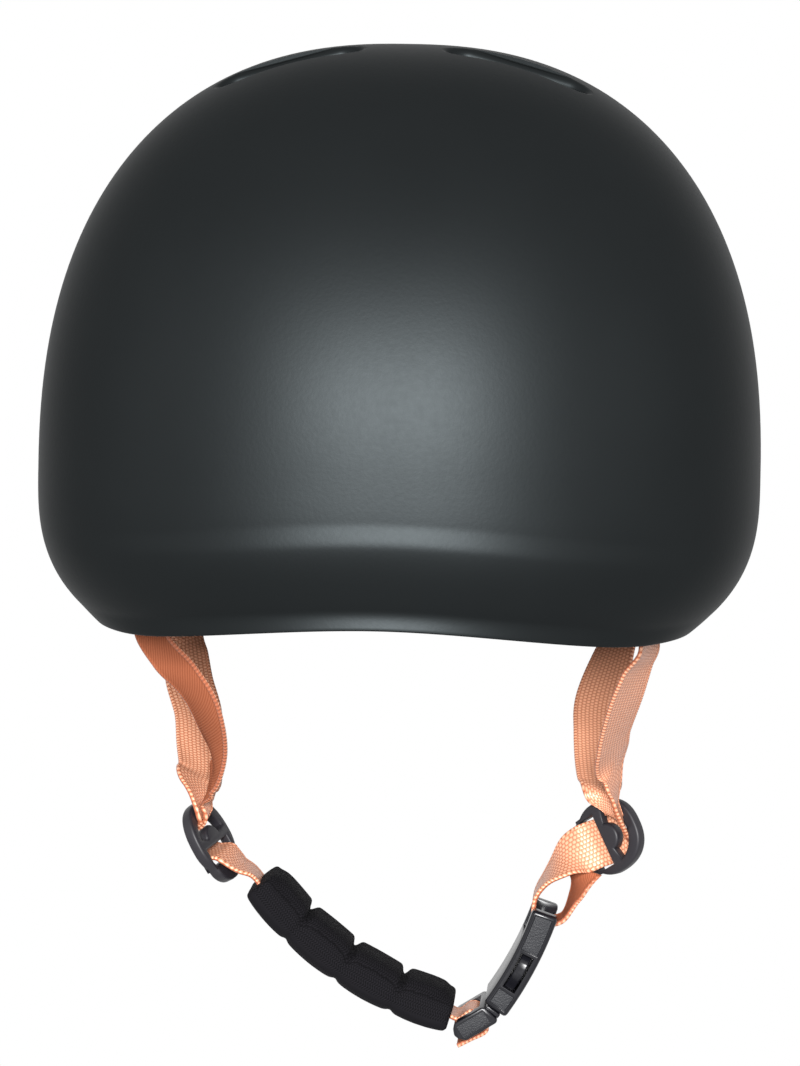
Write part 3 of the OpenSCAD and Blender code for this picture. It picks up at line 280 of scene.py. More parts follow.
def closed_tube(name, sections, sharp=60, capped=False):
    """Skin over a list of closed sections, wrapped end to end or capped."""
    n, m = len(sections), len(sections[0])
    last = (n - 1) * m
    faces = net(n, m)
    if capped:
        faces += [tuple(range(m))[::-1], tuple(last + j for j in range(m))]
    else:
        faces += [(last + j, last + (j + 1) % m, (j + 1) % m, j) for j in range(m)]
    return made(name, np.concatenate(sections), faces, sharp)


def peaked(name, rings, tops):
    """Skin over rings, closed by a peak at both ends."""
    cols = len(rings[0])
    peak = len(rings) * cols
    faces = net(len(rings), cols)
    faces += [((j + 1) % cols, j, peak) for j in range(cols)]
    faces += [(peak - cols + (j + 1) % cols, peak + 1, peak - cols + j) for j in range(cols)]
    return made(name, np.concatenate(rings + [[top] for top in tops]), faces)


def reshaped(obj, act):
    """The object, after act has changed its mesh as a bmesh."""
    shape = bmesh.new()
    shape.from_mesh(obj.data)
    act(shape)
    shape.to_mesh(obj.data)
    shape.free()
    return obj


def outward(obj):
    return reshaped(obj, lambda shape: bmesh.ops.recalc_face_normals(shape, faces=shape.faces))


# Shell
SHELL_COLS = 360


def bearings(cols):
    return np.radians(np.linspace(-180, 180, cols, endpoint=False))


def dome_rows(b, shares, climbs, depth):
    heights = [mix(rim_z(b), WIDEST_Z, s) for s in shares]
    for climb in np.radians(climbs):
        heights.append(np.full_like(b, WIDEST_Z + CROWN_H * sin(climb) ** (2 / DOME_N)))
    return [inset(dome_point(b, z), depth) for z in heights]


def slot_ends():
    """The slots' ends on the wearer's left side, from the front to the low back pair."""
    tops = [[(19, -37), (48, -42)], [(18, 44), (45, 52)]]
    ends = [[np.array([x, y, top_z(x, y)]) for x, y in pair] for pair in tops]
    return ends + [[dome_point(radians(a), np.float64(96)) for a in (166, 150)]]


def on_dome(p, up):
    """Moves points along a direction until they lie on the dome."""
    for _ in range(12):
        slope = (dome_field(p + 0.01 * up) - dome_field(p - 0.01 * up)) / 0.02
        p = p - ((dome_field(p) - 1) / slope)[..., None] * up
    return p


def slot_cutter(ends, width, lip, reach, side):
    """A slot's cutter with a trumpet mouth, which leaves a rounded lip on the dome."""
    p, q = ends
    up = dome_normal((p + q) / 2)
    along = unit((q - p) - np.dot(q - p, up) * up)
    across = np.cross(up, along)
    turn = around(7.5)
    half = np.linalg.norm(q - p) / 2

    def ring(d, drop):
        r = width / 2 + d
        x = r * np.cos(turn) + half * np.sign(np.cos(turn) + 1e-9)
        y = r * np.sin(turn)
        spots = on_dome((p + q) / 2 + x[:, None] * along + y[:, None] * across, up)
        return spots - drop * (dome_normal(spots) if lip else up)

    rings = [ring(0, 0) - reach * up]
    if lip:
        for t in np.radians(np.linspace(0, 90, 7)):
            rings.append(ring(lip * (1 - cos(t)), 0.03 + lip * (1 - sin(t))))
        rings.append(ring(lip + 0.2, -0.2))
    rings.append(ring(lip + 0.3, 0) + 12 * up)
    points = np.array(rings)
    if side < 0:
        points[..., 0] *= -1
    return closed_tube("cutter", list(points), capped=True)


def slot_cutters(width, lip, reach):
    return [slot_cutter(ends, width, lip, reach, side) for ends in slot_ends() for side in (1, -1)]


def shell():
    b = bearings(SHELL_COLS)
    climbs = np.concatenate([np.arange(2, 84, 1.5), np.arange(84, 89.6, 1)])
    outer = dome_rows(b, np.linspace(0.03, 1, 58), climbs, 0)
    inner = dome_rows(b, np.linspace(0.05, 1, 12), np.arange(8, 88, 6), SHELL_WALL)
    rim = []
    for t in np.radians(np.arange(15, 180, 15)):
        z = rim_z(b) + RIM_ROUND * (1 - sin(t))
        rim.append(inset(dome_point(b, z), SHELL_WALL / 2 * (1 - cos(t))))
    top = WIDEST_Z + CROWN_H
    obj = peaked("shell", outer[::-1] + rim + inner, [(0, 0, top), (0, 0, top - SHELL_WALL)])
    return shade(cut(obj, slot_cutters(SLOT_W, SLOT_LIP, SHELL_WALL + 6)), 35)


# Foam liner with its slots, air channels and anchor pockets
def ball_run(points, radius):
    """A round-ended channel cutter through the points."""
    path = dense(np.array(points), 12)
    ahead = unit(np.gradient(path, axis=0))
    side = unit(np.cross(ahead, [1, 0, 0.0]))
    other = np.cross(ahead, side)
    turn = around(18)
    ends = np.linspace(0, 1, 6)[1:]
    rings = []
    for k, (p, a, s, o) in enumerate(zip(path, ahead, side, other)):
        circle = np.cos(turn)[:, None] * s + np.sin(turn)[:, None] * o
        cap = [(a * radius * sqrt(1 - t * t), circle * radius * t) for t in ends[:-1]]
        if k == 0:
            rings += [p - off + ring for off, ring in cap]
        rings.append(p + circle * radius)
        if k == len(path) - 1:
            rings += [p + off + ring for off, ring in cap[::-1]]
    return closed_tube("cutter", rings, capped=True)


def anchor_cutter(root):
    x, y, _, turn = root
    c, s = heading(turn)
    w, d = ANCHOR_W / 2 + ANCHOR_GAP, ANCHOR_DEPTH / 2 + ANCHOR_GAP
    heights = ANCHOR_Z - ANCHOR_H / 2 - 30, ANCHOR_Z + ANCHOR_H / 2 + ANCHOR_GAP
    corners = [(x + u * c - v * s, y + u * s + v * c) for u, v in ((-w, -d), (w, -d), (w, d), (-w, d))]
    return closed_tube("cutter", [[(*k, z) for k in corners] for z in heights], capped=True)


def anchor_cutters():
    return [anchor_cutter(root) for root in ROOTS.values()]


def liner():
    b = bearings(240)
    outer = dome_rows(b, [0.12, 0.25, 0.45, 0.7, 1], np.arange(8, 88, 5), LINER_DEPTH)
    low = foam_low(b)
    inner = [head_point(b, mix(low, HEAD_WALL_Z, s)) for s in np.linspace(0.16, 1, 10)]
    for climb in np.radians(np.arange(3, 88, 3)):
        z = HEAD_WALL_Z + (HEAD_TOP - HEAD_WALL_Z) * sin(climb) ** (2 / HEAD_N)
        inner.append(head_point(b, np.full_like(b, z)))
    foot = outer[0].copy()
    foot[:, 2] = low
    wall = head_point(b, low)
    inward = LINER_ROUND * unit(foot - wall)
    rim = [foot, mix(foot, wall, 0.5), wall + inward]
    for t in np.radians((30, 60)):
        bend = wall + inward * (1 - sin(t))
        bend[:, 2] += LINER_ROUND * (1 - cos(t))
        rim.append(bend)
    tops = [(0, 0, WIDEST_Z + CROWN_H - LINER_DEPTH), (0, 0, HEAD_TOP)]
    obj = peaked("liner", outer[::-1] + rim + inner, tops)
    cutters = slot_cutters(SLOT_W + 1, 0, 60)
    for side in (-1, 1):
        spots = [head_top_point(side * CHANNEL_X, y) for y in CHANNEL_YS]
        cutters.append(ball_run(spots, CHANNEL_R))
    return shade(cut(obj, cutters + anchor_cutters()), 40)


def rim_strip():
    b = bearings(SHELL_COLS)
    low, high = rim_z(b) + 0.6, foam_low(b) - 0.4
    outs = [np.hypot(*inset(dome_point(b, z), SHELL_WALL)[:, :2].T) for z in (low, high)]
    reach = np.minimum(*outs) - 2.6
    inner = np.minimum(head_r(b), reach - 2)
    mid_r, mid_z = (reach + inner) / 2, (low + high) / 2
    rings = [polar(b, mid_r + (reach - inner) / 2 * power(cos(t), 0.35),
                   mid_z + (high - low) / 2 * power(sin(t), 0.5)) for t in around(18)]
    return shade(cut(closed_tube("rim_strip", rings), anchor_cutters()), 50)


# Curves through stations, each a place and whatever goes with it
def dense(stations, steps):
    s = np.asarray(stations, float)
    n = len(s)
    out = []
    for i in range(n - 1):
        a, b, c, d = s[max(0, i - 1)], s[i], s[i + 1], s[min(n - 1, i + 2)]
        for t in np.arange(steps) / steps:
            out.append(0.5 * (2 * b + (c - a) * t + (2 * a - 5 * b + 4 * c - d) * t ** 2
                              + (3 * b - a - 3 * c + d) * t ** 3))
    return np.array(out + [s[-1]])


def webbing_section():
    """Half of the webbing's section: from its left edge over one face to its right edge."""
    face = [(u, 0.5) for u in np.linspace(-WEB_W / 2 + 2, WEB_W / 2 - 2, 9)]
    bead = [(-WEB_W / 2 + 0.72 - 0.72 * cos(t), 0.7 * sin(t))
            for t in np.radians((0, 30, 60, 90, 130))]
    return bead + [(-WEB_W / 2 + 1.5, 0.47)] + face + [(WEB_W / 2 - 1.5, 0.47)] \
        + [(-u, v) for u, v in bead[::-1]]


def swept(name, s, u, v, sharp):
    """A section, u across and v outward, along stations of place, width direction and gather."""
    ahead = unit(np.gradient(s[:, :3], axis=0))
    across = unit(s[:, 3:6] - (s[:, 3:6] * ahead).sum(1, keepdims=True) * ahead)
    points = s[:, None, :3] + u[None, :, None] * s[:, 6, None, None] * across[:, None] \
        + v[None, :, None] * np.cross(ahead, across)[:, None]
    return closed_tube(name, list(points), sharp, capped=True)


def webbing(name, stations, shiny=1):
    """Webbing along its stations, with its weave's coordinates."""
    s = dense(stations, 16)
    run = np.concatenate([[0], np.cumsum(np.linalg.norm(np.diff(s[:, :3], axis=0), axis=1))])
    even = np.linspace(0, run[-1], max(8, int(run[-1] / WEB_STEP)))
    s = np.stack([np.interp(even, run, s[:, k]) for k in range(s.shape[1])], -1)
    half = webbing_section()
    u, v = np.array(half + [(u, -v) for u, v in half[-2:0:-1]]).T
    obj = swept(name, s, u, v, 75)
    rows = np.broadcast_arrays(u[None] + WEB_W / 2, even[:, None], np.sign(v)[None] * shiny)
    return weave(obj, np.stack(rows, -1))


def facing(place, across, gather=1.0):
    return [*place, *across, gather]


def heading(degrees):
    turn = radians(degrees)
    return cos(turn), sin(turn)


def plan_stations(rows):
    return [facing(row[:3], (*heading(row[3]), 0)) for row in rows]


def anchor_loop(root, following):
    x, y, _, turn = root
    c, s = heading(turn)
    side = np.array([-s, c, 0])
    leaving = np.sign(np.dot(np.array(following[:3]) - np.array(root[:3]), side))
    rows = [(-1, -3), (-1, 0), (-0.72, 0.72), (0, 1), (0.72, 0.72), (1, 0), (1, -2.2)]
    return [facing(np.array([x, y, ANCHOR_Z + LOOP_R * h]) + side * leaving * LOOP_R * w, (c, s, 0))
            for w, h in rows]


FRONT_LEFT = [(75, -51, 1, 70), (71.8, -46, -7, 60), (69, -38, -17, 56), (65.8, -25, -31, 62),
              (65.6, -16, -39.5, 64)]
REAR_LEFT = [facing(place, unit(across), *gather) for place, across, *gather in (
    ((68.5, 49, -3), (-0.5, 0.87, 0)), ((65.5, 43, -12), (-0.75, 0.62, 0.1)),
    ((61.2, 31, -26), (-0.9, 0.15, 0.2)), ((60.8, 19, -35.5), (-0.95, -0.05, 0.3)),
    ((61.4, 8, -42.5), (-0.95, 0, 0.3)), ((62.0, -1.5, -46.6), (-0.93, 0.25, 0.3), 0.92),
    ((61.9, -7.2, -48.9), (-0.87, 0.42, 0.35), 0.62))]
FRONT_RIGHT = [(-69.8, -52.5, 1, -40), (-63.8, -47, -8.5, -24), (-58.4, -41, -16.5, -36),
               (-55.6, -34, -24.5, -50), (-54.4, -24, -34.5, -63), (-54.6, -16, -43.5, -80)]
REAR_RIGHT = [(-71.6, 46.8, -1, 57), (-71.2, 44, -9, 46), (-70.4, 40.5, -15, 20), (-68.4, 35, -23, 4),
              (-64.6, 27, -32, 6), (-63, 18, -40.5, 24), (-61.6, 8, -47.5, 50)]


# Frames of the two dividers: middle, direction of the width, direction of the top
def divider_frames():
    flat = unit([0.8, -0.6, 0])
    turn = radians(58)
    u = cos(turn) * flat - np.array([0, 0, sin(turn)])
    left = (np.array([64.7, -5.5, -63]), u, np.cross(np.cross(flat, [0, 0, 1]), u))
    top = unit([-0.5, 0, 0.866])
    ru = unit(np.cross(top, np.cross([0.27, 0.95, 0.156], top)))
    return left, (np.array([-56.3, -5, -67.6]), ru, top)


LEFT, RIGHT = divider_frames()
FIRST = DIVIDER_T / 2 + WEB_GAP + WEB_T / 2


def hung(d, s):
    return d[0] + d[1] * s[0] + d[2] * s[1] + np.cross(d[1], d[2]) * s[2]


BAR_PASS = [(4.6, -FIRST), (2, -FIRST), (-0.5, -FIRST), (-2, -2.3), (-2.9, -1.1), (-3.5, 0.3),
            (-4.3, 2)]
SLOT_ARC_Y = 0.8


def slot_entry(d, turn, layer, sign):
    """The end of an upper strap, gathered as it goes over the ring and down through the round slot."""
    r = (6.9, 5.8)[layer]
    lift = (0, WEB_T + WEB_GAP)[layer]
    c, s = heading(turn)
    tangent = sign * (s * d[1] - c * d[2])
    rows = ((2.2, 2.6 + lift, 0.34), (0.3, 1.6, 0.28), (0, -1.4, 0.26))
    return [facing(hung(d, ((r + out) * c, SLOT_ARC_Y + (r + out) * s, up)), tangent, gather)
            for out, up, gather in rows]


def leaning(d, rows):
    """Stations in a divider's frame: place, lean of the width on the same axes and gather."""
    w = np.cross(d[1], d[2])
    return [facing(hung(d, place), unit(d[1] * lean[0] + d[2] * lean[1] + w * lean[2]), *gather)
            for place, lean, *gather in rows]


# Ends of the upper straps, from where they begin to gather
LEFT_FRONT_END = [facing(place, unit(across), gather) for place, across, gather in (
    ((66.2, -14.6, -46.5), (0.2, 0.8, 0.55), 0.8), ((67.0, -14.4, -51.5), (-0.05, 0.75, 0.65), 0.45),
    ((68.8, -12.6, -56.4), (0, 0.8, 0.4), 0.28), ((70.2, -9.7, -60.6), (-0.3, 0.5, 0.6), 0.25),
    ((71.2, -8.4, -61.0), (-0.3, 0.3, 0.85), 0.25))]
RIGHT_FRONT_END = [((-3.6, 17.4, 12.2), (-0.84, -0.52, 0.1)),
                   ((-1.8, 14.6, 8.5), (-0.95, -0.3, 0.05), 0.85), ((-1.4, 11.8, 5.6), (-1, -0.08, 0), 0.6)]
RIGHT_REAR_END = [((7.6, 18.4, 1.9), (0.62, -0.7, 0.3)), ((3.2, 15.4, 2.8), (0.8, -0.5, 0.15), 0.8),
                  ((-0.4, 12.4, 2.95), (0.95, -0.25, 0), 0.55)]


def right_end(rows, turn, layer, sign):
    return leaning(RIGHT, rows) + slot_entry(RIGHT, turn, layer, sign)


# Buckle and chin, about the pivot where the right straps meet
PIVOT = np.array([-61, -5, -50.0])
BUCKLE_R, MOUTH_A, SOCKET_LEN = 113, -34.9, 33.5
DEG = 180 / (pi * BUCKLE_R)
BUCKLE_W, BUCKLE_T, BAY_W, PRONG_T, PRONG_GAP, PRONG_BULGE = 25, 8, 19, 3, 0.4, 2.2
BAR_A = MOUTH_A + (SOCKET_LEN - 4) * DEG
BASE_LEN, BASE_T = 13.4, 6.4
BASE_DIR, BASE_UP = unit([-0.845, 0, -0.535]), unit([-0.535, 0, 0.845])
CHIN_HUB, CHIN_R, CHIN_MID, CHIN_LEN = np.array([41.996, -5, -16.697]), 104, -123.2, 74
CHIN_W, CHIN_T, CHIN_SEGMENTS = 27, 8.6, 4
CHIN_DEG = 180 / (pi * CHIN_R)
CHIN_FROM, CHIN_TO = CHIN_MID - CHIN_LEN / 2 * CHIN_DEG, CHIN_MID + CHIN_LEN / 2 * CHIN_DEG


def round_hub(hub, a, r, y):
    a = np.radians(a)
    return np.stack(np.broadcast_arrays(hub[0] + r * np.cos(a), hub[1] + y, hub[2] + r * np.sin(a)), -1)


def round_pivot(a, r, y=0.0):
    return round_hub(PIVOT, a, r, y)


def chin_point(a, r, y=0.0):
    return round_hub(CHIN_HUB, a, r, y)


BASE_AT = round_pivot(MOUTH_A - 1.3 * DEG, BUCKLE_R)
FLAT = (1, 0, 0)


def chin_webs():
    over_lip = [((0, -6.6, 4), FLAT), ((0, -9.6, 5.6), (0.93, 0.25, 0.2)),
                ((0.9, -13.6, 8), (0.68, 0.5, 0.5)), ((2.8, -19, 10.3), (0.4, 0.55, 0.72))]
    under_lip = [((11.4, -17, 4.9), (0.42, 0.55, 0.7)), ((8.4, -13.6, 4.2), (0.64, 0.5, 0.56)),
                 ((5, -10.6, 3.4), (0.93, 0.27, 0.17))]
    left, right = ([facing(hung(d, (0, *s)), d[1]) for s in BAR_PASS] for d in (LEFT, RIGHT))
    left += leaning(LEFT, over_lip) + plan_stations([(43.4, -5, -81, -90)])
    bar = round_pivot(BAR_A, BUCKLE_R)
    for a in (90, 135, 180, 225, 270):
        t = radians(BAR_A + 90 + a)
        left.append(facing(bar + LOOP_R * np.array([cos(t), 0, sin(t)]), (0, -1, 0)))
    left += plan_stations([(52, -5, -87.6, -90)]) + leaning(LEFT, under_lip)
    right += leaning(RIGHT, [((0, -6.4, 3.3), (1, 0, -0.05)), ((0.9, -10.4, 4.7), (0.98, 0, -0.18))])
    spots = [chin_point(mix(CHIN_FROM - 1, CHIN_TO - 1.2, i / 8), CHIN_R) for i in range(9)]
    half = BASE_T / 2
    for along, up in ((BASE_LEN - 3, half - 0.4), (6.2, half - 0.2), (4.5, half - 1.6), (4.1, 0),
                      (4.3, -half - 0.5), (6, -half - 1.6), (BASE_LEN - 3, -half - 1.2),
                      (BASE_LEN + 1.5, -half - 0.9)):
        spots.append(BASE_AT + BASE_DIR * along + BASE_UP * up)
    return left, right + [facing(spot, (0, 1, 0)) for spot in spots]


# Dividers
def ring_edge(a):
    s = np.sin(a)
    waist = 1 - 0.1 * smooth(-2 * s) - 0.05 * bell((s + 0.5) / 0.14)
    x, y = waist * power(np.cos(a), 0.82), power(s, 0.85)
    return np.stack([DIVIDER_W / 2 * x, DIVIDER_H / 2 * y], -1)


def rounded_plate(name, outlines, thick, edge):
    """A flat plate with holes and rounded edges, in its own plane."""
    curve = given(bpy.data.curves.new(name, "CURVE"), dimensions="2D", fill_mode="BOTH",
                  extrude=(thick / 2 - edge) * MM, bevel_depth=edge * MM, bevel_resolution=3,
                  offset=-edge * MM)
    for outline in outlines:
        spline = curve.splines.new("POLY")
        spline.points.add(len(outline) - 1)
        for point, (x, y) in zip(spline.points, outline):
            point.co = (x * MM, y * MM, 0, 1)
        spline.use_cyclic_u = True
    shape = linked(name, curve)
    mesh = bpy.data.meshes.new_from_object(evaluated(shape))
    bpy.data.objects.remove(shape)
    obj = linked(name, mesh)
    reshaped(obj, lambda form: bmesh.ops.remove_doubles(form, verts=form.verts, dist=0.01 * MM))
    return shade(obj, 50)


def placed(obj, frame_of):
    """Moves a piece made in its own plane into a frame of origin, first and second axis."""
    o, u, v = (np.asarray(k, float) for k in frame_of)
    w = np.cross(u, v)
    obj.data.transform(Matrix([[u[i], v[i], w[i], o[i] * MM] for i in range(3)] + [[0, 0, 0, 1]]))
    obj.data.update()
    return obj


def divider(name, frame_of):
    arc = np.radians(np.linspace(14, 166, 40))
    outer_r = DIVIDER_W / 2 - 3
    inner_r = outer_r - 2 * WEB_T - 3 * WEB_GAP
    crescent = [(r * cos(a), SLOT_ARC_Y + r * sin(a))
                for r, angles in ((outer_r, arc), (inner_r, arc[::-1])) for a in angles]
    w = WEB_W / 2 + 0.6
    lower = [(-w, -6.4), (w, -6.4), (w, -0.9), (-w, -0.9)]
    outlines = [ring_edge(around(3)), crescent[::-1], lower[::-1]]
    return placed(rounded_plate(name, outlines, DIVIDER_T, 0.9), frame_of)


# Buckle: each piece is made straight, then bent about the pivot
def bent(obj):
    """Bends a piece made with x along the buckle from its mouth, y across and z outward."""
    co = coords(obj)
    set_coords(obj, round_pivot(MOUTH_A + co[:, 0] * DEG, BUCKLE_R + co[:, 2], co[:, 1]))
    return outward(obj)


def block(name, low, high):
    (x0, y0, z0), (x1, y1, z1) = low, high
    corners = [[(x, y0, z0), (x, y1, z0), (x, y1, z1), (x, y0, z1)] for x in (x0, x1)]
    return closed_tube(name, corners, capped=True)


def bevelled(obj, width, angle=30, steps=3):
    modified(obj, "BEVEL", width=width * MM, segments=steps, limit_method="ANGLE",
             angle_limit=radians(angle))
    return shade(settled(obj), angle + 5)


def sliced(obj, low, high):
    """Adds edges across a piece, so that it bends smoothly."""
    def slice_up(shape):
        for x in np.arange(low, high, 1.5):
            bmesh.ops.bisect_plane(shape, geom=shape.verts[:] + shape.edges[:] + shape.faces[:],
                                   plane_co=(float(x) * MM, 0, 0), plane_no=(1, 0, 0))

    return reshaped(obj, slice_up)


WINDOW = (7.5, 19.5)
CHEEK = WEB_W / 2 + 0.7


def socket():
    half_w, half_t = BUCKLE_W / 2, BUCKLE_T / 2
    obj = bevelled(block("socket", (0, -half_w, -half_t), (SOCKET_LEN, half_w, half_t)), 1.1)
    bay = (PRONG_T + 2 * PRONG_GAP) / 2
    hollows = [((-1, -BAY_W / 2, -bay), (WINDOW[1] + 1.6, BAY_W / 2, bay)),
               ((WINDOW[0], -20, -bay - 0.2), (WINDOW[1], 20, bay + 0.2)),
               ((SOCKET_LEN - 9.4, -CHEEK, -9), (SOCKET_LEN + 2, CHEEK, 9))]
    hollows += [((x0, y - 0.3, -2.7), (x1, y + 0.3, 2.7)) for y in (-half_w, half_w)
                for x0, x1 in ((1.3, WINDOW[0] - 1), (WINDOW[1] + 1, SOCKET_LEN - 1.4))]
    cut(obj, [block("cutter", *hollow) for hollow in hollows])
    return bent(sliced(bevelled(obj, 0.3, angle=40, steps=2), 0, SOCKET_LEN))


def socket_bar():
    r = BAR_D / 2
    rings = [[(SOCKET_LEN - 4 + r * cos(t), y, r * sin(t)) for t in around(12)]
             for y in (-CHEEK - 0.4, CHEEK + 0.4)]
    return bent(closed_tube("socket_bar", rings, capped=True))


def socket_panels():
    """The grained panels let into both sides of the socket, in front of and behind its windows."""
    plates = []
    for y in (0.2 - BUCKLE_W / 2, BUCKLE_W / 2 - 0.2):
        for x0, x1 in ((1.4, WINDOW[0] - 1.1), (WINDOW[1] + 1.1, SOCKET_LEN - 1.5)):
            plate = bevelled(block("panel", (x0, y - 0.1, -2.6), (x1, y + 0.1, 2.6)), 0.08)
            plates.append(sliced(plate, x0, x1))
    return bent(joined("socket_panels", plates))


def joined(name, parts):
    shape = bmesh.new()
    for part in parts:
        shape.from_mesh(part.data)
    mesh = bpy.data.meshes.new(name)
    shape.to_mesh(mesh)
    shape.free()
    for part in parts:
        bpy.data.objects.remove(part)
    return shade(linked(name, mesh), 35)


PRONG_W, ROOT_S = 3.6, 0.4
PRONG_Y = BAY_W / 2 - PRONG_GAP - PRONG_W / 2
PRONG_HEEL = ((0, 0.4), (0.6, 0.68), (1.5, 0.85), (2.5, 0.95), (3.6, 1))


def prong(name, side):
    a, b = WINDOW[0] - ROOT_S + PRONG_GAP, WINDOW[1] - ROOT_S - PRONG_GAP
    out = PRONG_W / 2 + PRONG_GAP + PRONG_BULGE
    arm = PRONG_W / 2 - 0.3
    shape = [(0, arm), (b, arm)] + [(b - back, -out * share) for back, share in PRONG_HEEL]
    shape += [(a + 5.2, -out), (a + 4.2, -out * 0.95), (a, -PRONG_W / 2), (0, -arm)]
    shape += [(PRONG_W / 2 * cos(t), -PRONG_W / 2 * sin(t))
              for t in np.radians(np.arange(105, 256, 15))[::-1]]
    outline = [(ROOT_S + x, -PRONG_Y + y) for x, y in shape]
    if side > 0:
        outline = [(x, -y) for x, y in outline][::-1]
    return bent(sliced(rounded_plate(name, [outline[::-1]], PRONG_T, 0.45), 0, 20))


def tongue():
    half, t, w = BASE_T / 2, PRONG_T / 2, BUCKLE_W / 2
    profile = [(-0.4, -half + 0.6), (0.4, -half), (BASE_LEN - 2.5, -half),
               (BASE_LEN - 0.6, -half + 1.6), (BASE_LEN, 0), (BASE_LEN - 0.8, half - 1.2),
               (BASE_LEN - 2.2, half), (1.8, half), (0.8, half - 0.8)]
    base = closed_tube("base", [[(x, y, z) for x, y in profile] for z in (-w, w)], capped=True)
    bevelled(base, 0.9, angle=25)
    far = 5.9 + BASE_LEN
    cutters = [block("cutter", low, high) for low, high in (
        ((2.6, -BASE_T, -CHEEK), (6, BASE_T, CHEEK)),
        ((5.9, half - 1.4, -CHEEK), (far, half + 2.6, CHEEK)),
        ((5.9, -half - 2.6, -CHEEK), (far, -half + 1.4, CHEEK)),
        ((1.8, -2.1, -w - 0.25), (BASE_LEN - 1.9, 2.1, -w + 0.25)),
        ((1.8, -2.1, w - 0.25), (BASE_LEN - 1.9, 2.1, w + 0.25)))]
    bevelled(cut(base, cutters), 0.25, angle=40, steps=2)
    placed(base, (BASE_AT, BASE_DIR, BASE_UP))
    arm = BAY_W / 2 - PRONG_GAP - 1.6
    neck, head, rail = (bevelled(block("part", low, high), 0.3) for low, high in (
        ((-1.6, -w + 1, -2.4), (-0.3, w - 1, 2.4)), ((-1, -arm, -t), (2.4, arm, t)),
        ((2, -2.1, -t), (WINDOW[1] - 2, 2.1, t))))
    return joined("tongue", [base, bent(neck), bent(head), bent(sliced(rail, 2, 17))])


def tongue_panels():
    plates = [bevelled(block("panel", (1.9, -2.0, z - 0.08), (BASE_LEN - 2, 2.0, z + 0.08)), 0.06)
              for z in (0.17 - BUCKLE_W / 2, BUCKLE_W / 2 - 0.17)]
    return placed(joined("tongue_panels", plates), (BASE_AT, BASE_DIR, BASE_UP))


# Padded pieces: the plain shape is remeshed, swollen as cloth, then drawn in at its seams
CLOTH_SCALE = 12


def swollen(obj, voxel, cap):
    """The shape remeshed and blown up as cloth by no more than cap."""
    modified(obj, "REMESH", mode="VOXEL", voxel_size=voxel * MM)
    settled(obj)
    rest = coords(obj)
    set_coords(obj, rest * CLOTH_SCALE)
    cloth = modified(obj, "CLOTH")
    given(cloth.settings, use_pressure=True, uniform_pressure_force=4, quality=4)
    cloth.settings.effector_weights.gravity = 0
    for step in range(1, 21):
        SCENE.frame_set(step)
    after = evaluated(obj).to_mesh()
    co = np.empty(len(after.vertices) * 3)
    after.vertices.foreach_get("co", co)
    obj.modifiers.remove(cloth)
    SCENE.frame_set(1)
    move = co.reshape(-1, 3) / MM / CLOTH_SCALE - rest
    size = np.linalg.norm(move, axis=1, keepdims=True) + 1e-9
    set_coords(obj, rest + move * np.minimum(1, cap / size))
    return obj


def subdivided(obj):
    modified(obj, "SUBSURF", levels=1, render_levels=1)
    return shade(settled(obj), 80)


def rise_in(t):
    return np.maximum(0, 1 - np.abs(2 * t - 1) ** 4) ** 0.5


def slab(name, face, back):
    """A closed skin between two grids of points."""
    rows, cols = face.shape[:2]
    far = rows * cols
    faces = net(rows, cols, wrap=False) + net(rows, cols, far, wrap=False, flip=True)
    edge = [(i, 0) for i in range(rows)] + [(rows - 1, j) for j in range(1, cols)] \
        + [(i, cols - 1) for i in range(rows - 2, -1, -1)] + [(0, j) for j in range(cols - 2, 0, -1)]
    ring = [i * cols + j for i, j in edge]
    faces += [(a, b, b + far, a + far) for a, b in zip(ring, ring[1:] + ring[:1])]
    return made(name, np.concatenate([face.reshape(-1, 3), back.reshape(-1, 3)]), faces)


SEAM_W, HEM_W, HEM_SHARE, HEM_IN, SEAM_DEEP = 1.3, 0.8, 0.45, 3.2, 2.3
CLOTH_T = 0.7


def drawn_in(seams, hems):
    """How far cloth is pulled in, from pairs of a coordinate and its seams' or hems' places."""
    pulls = [bell((where - spot) / SEAM_W) for where, spots in seams for spot in spots]
    pulls += [HEM_SHARE * bell((where - spot) / HEM_W) for where, spots in hems for spot in spots]
    return np.max(pulls, axis=0)


def grid(cols, rows):
    return np.meshgrid(np.linspace(0, 1, cols), np.linspace(0, 1, rows), indexing="ij")


def plumped(thick, rise):
    return thick * (0.2 + 0.8 * rise) - CLOTH_T


def cushion(obj, co, u, v):
    """A pad with its drawn-in shape and its knit's coordinates."""
    set_coords(obj, co)
    weave(obj, np.stack([u, v, np.ones(len(co))], -1))
    return obj


def wall_cushion(name, b0, b1, z0, z1, seams):
    width = radians(b1 - b0) * float(head_r(np.radians((b0 + b1) / 2)))
    u, v = grid(int(width / 1.5), int((z1 - z0) / 1.5))
    b, z = np.radians(mix(b0, b1, u)), mix(z0, z1, v)
    plump = plumped(PAD_THICK, rise_in(u) * rise_in(v))
    back = PAD_GAP + 0.6
    obj = swollen(slab(name, head_point(b, z, back + plump), head_point(b, z, back)), 1.5, 0.75)
    subdivided(obj)
    co = coords(obj)
    bearing = np.arctan2(co[:, 0], -co[:, 1])
    along = (np.degrees(bearing) - b0) / (b1 - b0) * width
    radius = np.hypot(co[:, 0], co[:, 1])
    depth = head_r(bearing) - radius
    drawn = drawn_in([(along, np.array(seams) * width)],
                     [(co[:, 2] - z0, (HEM_IN, z1 - z0 - HEM_IN)), (along, (HEM_IN, width - HEM_IN))])
    push = SEAM_DEEP * drawn * smooth((depth - PAD_GAP - 1.5) / 3)
    co[:, :2] *= ((radius + push) / radius)[:, None]
    return cushion(obj, co, along, co[:, 2])


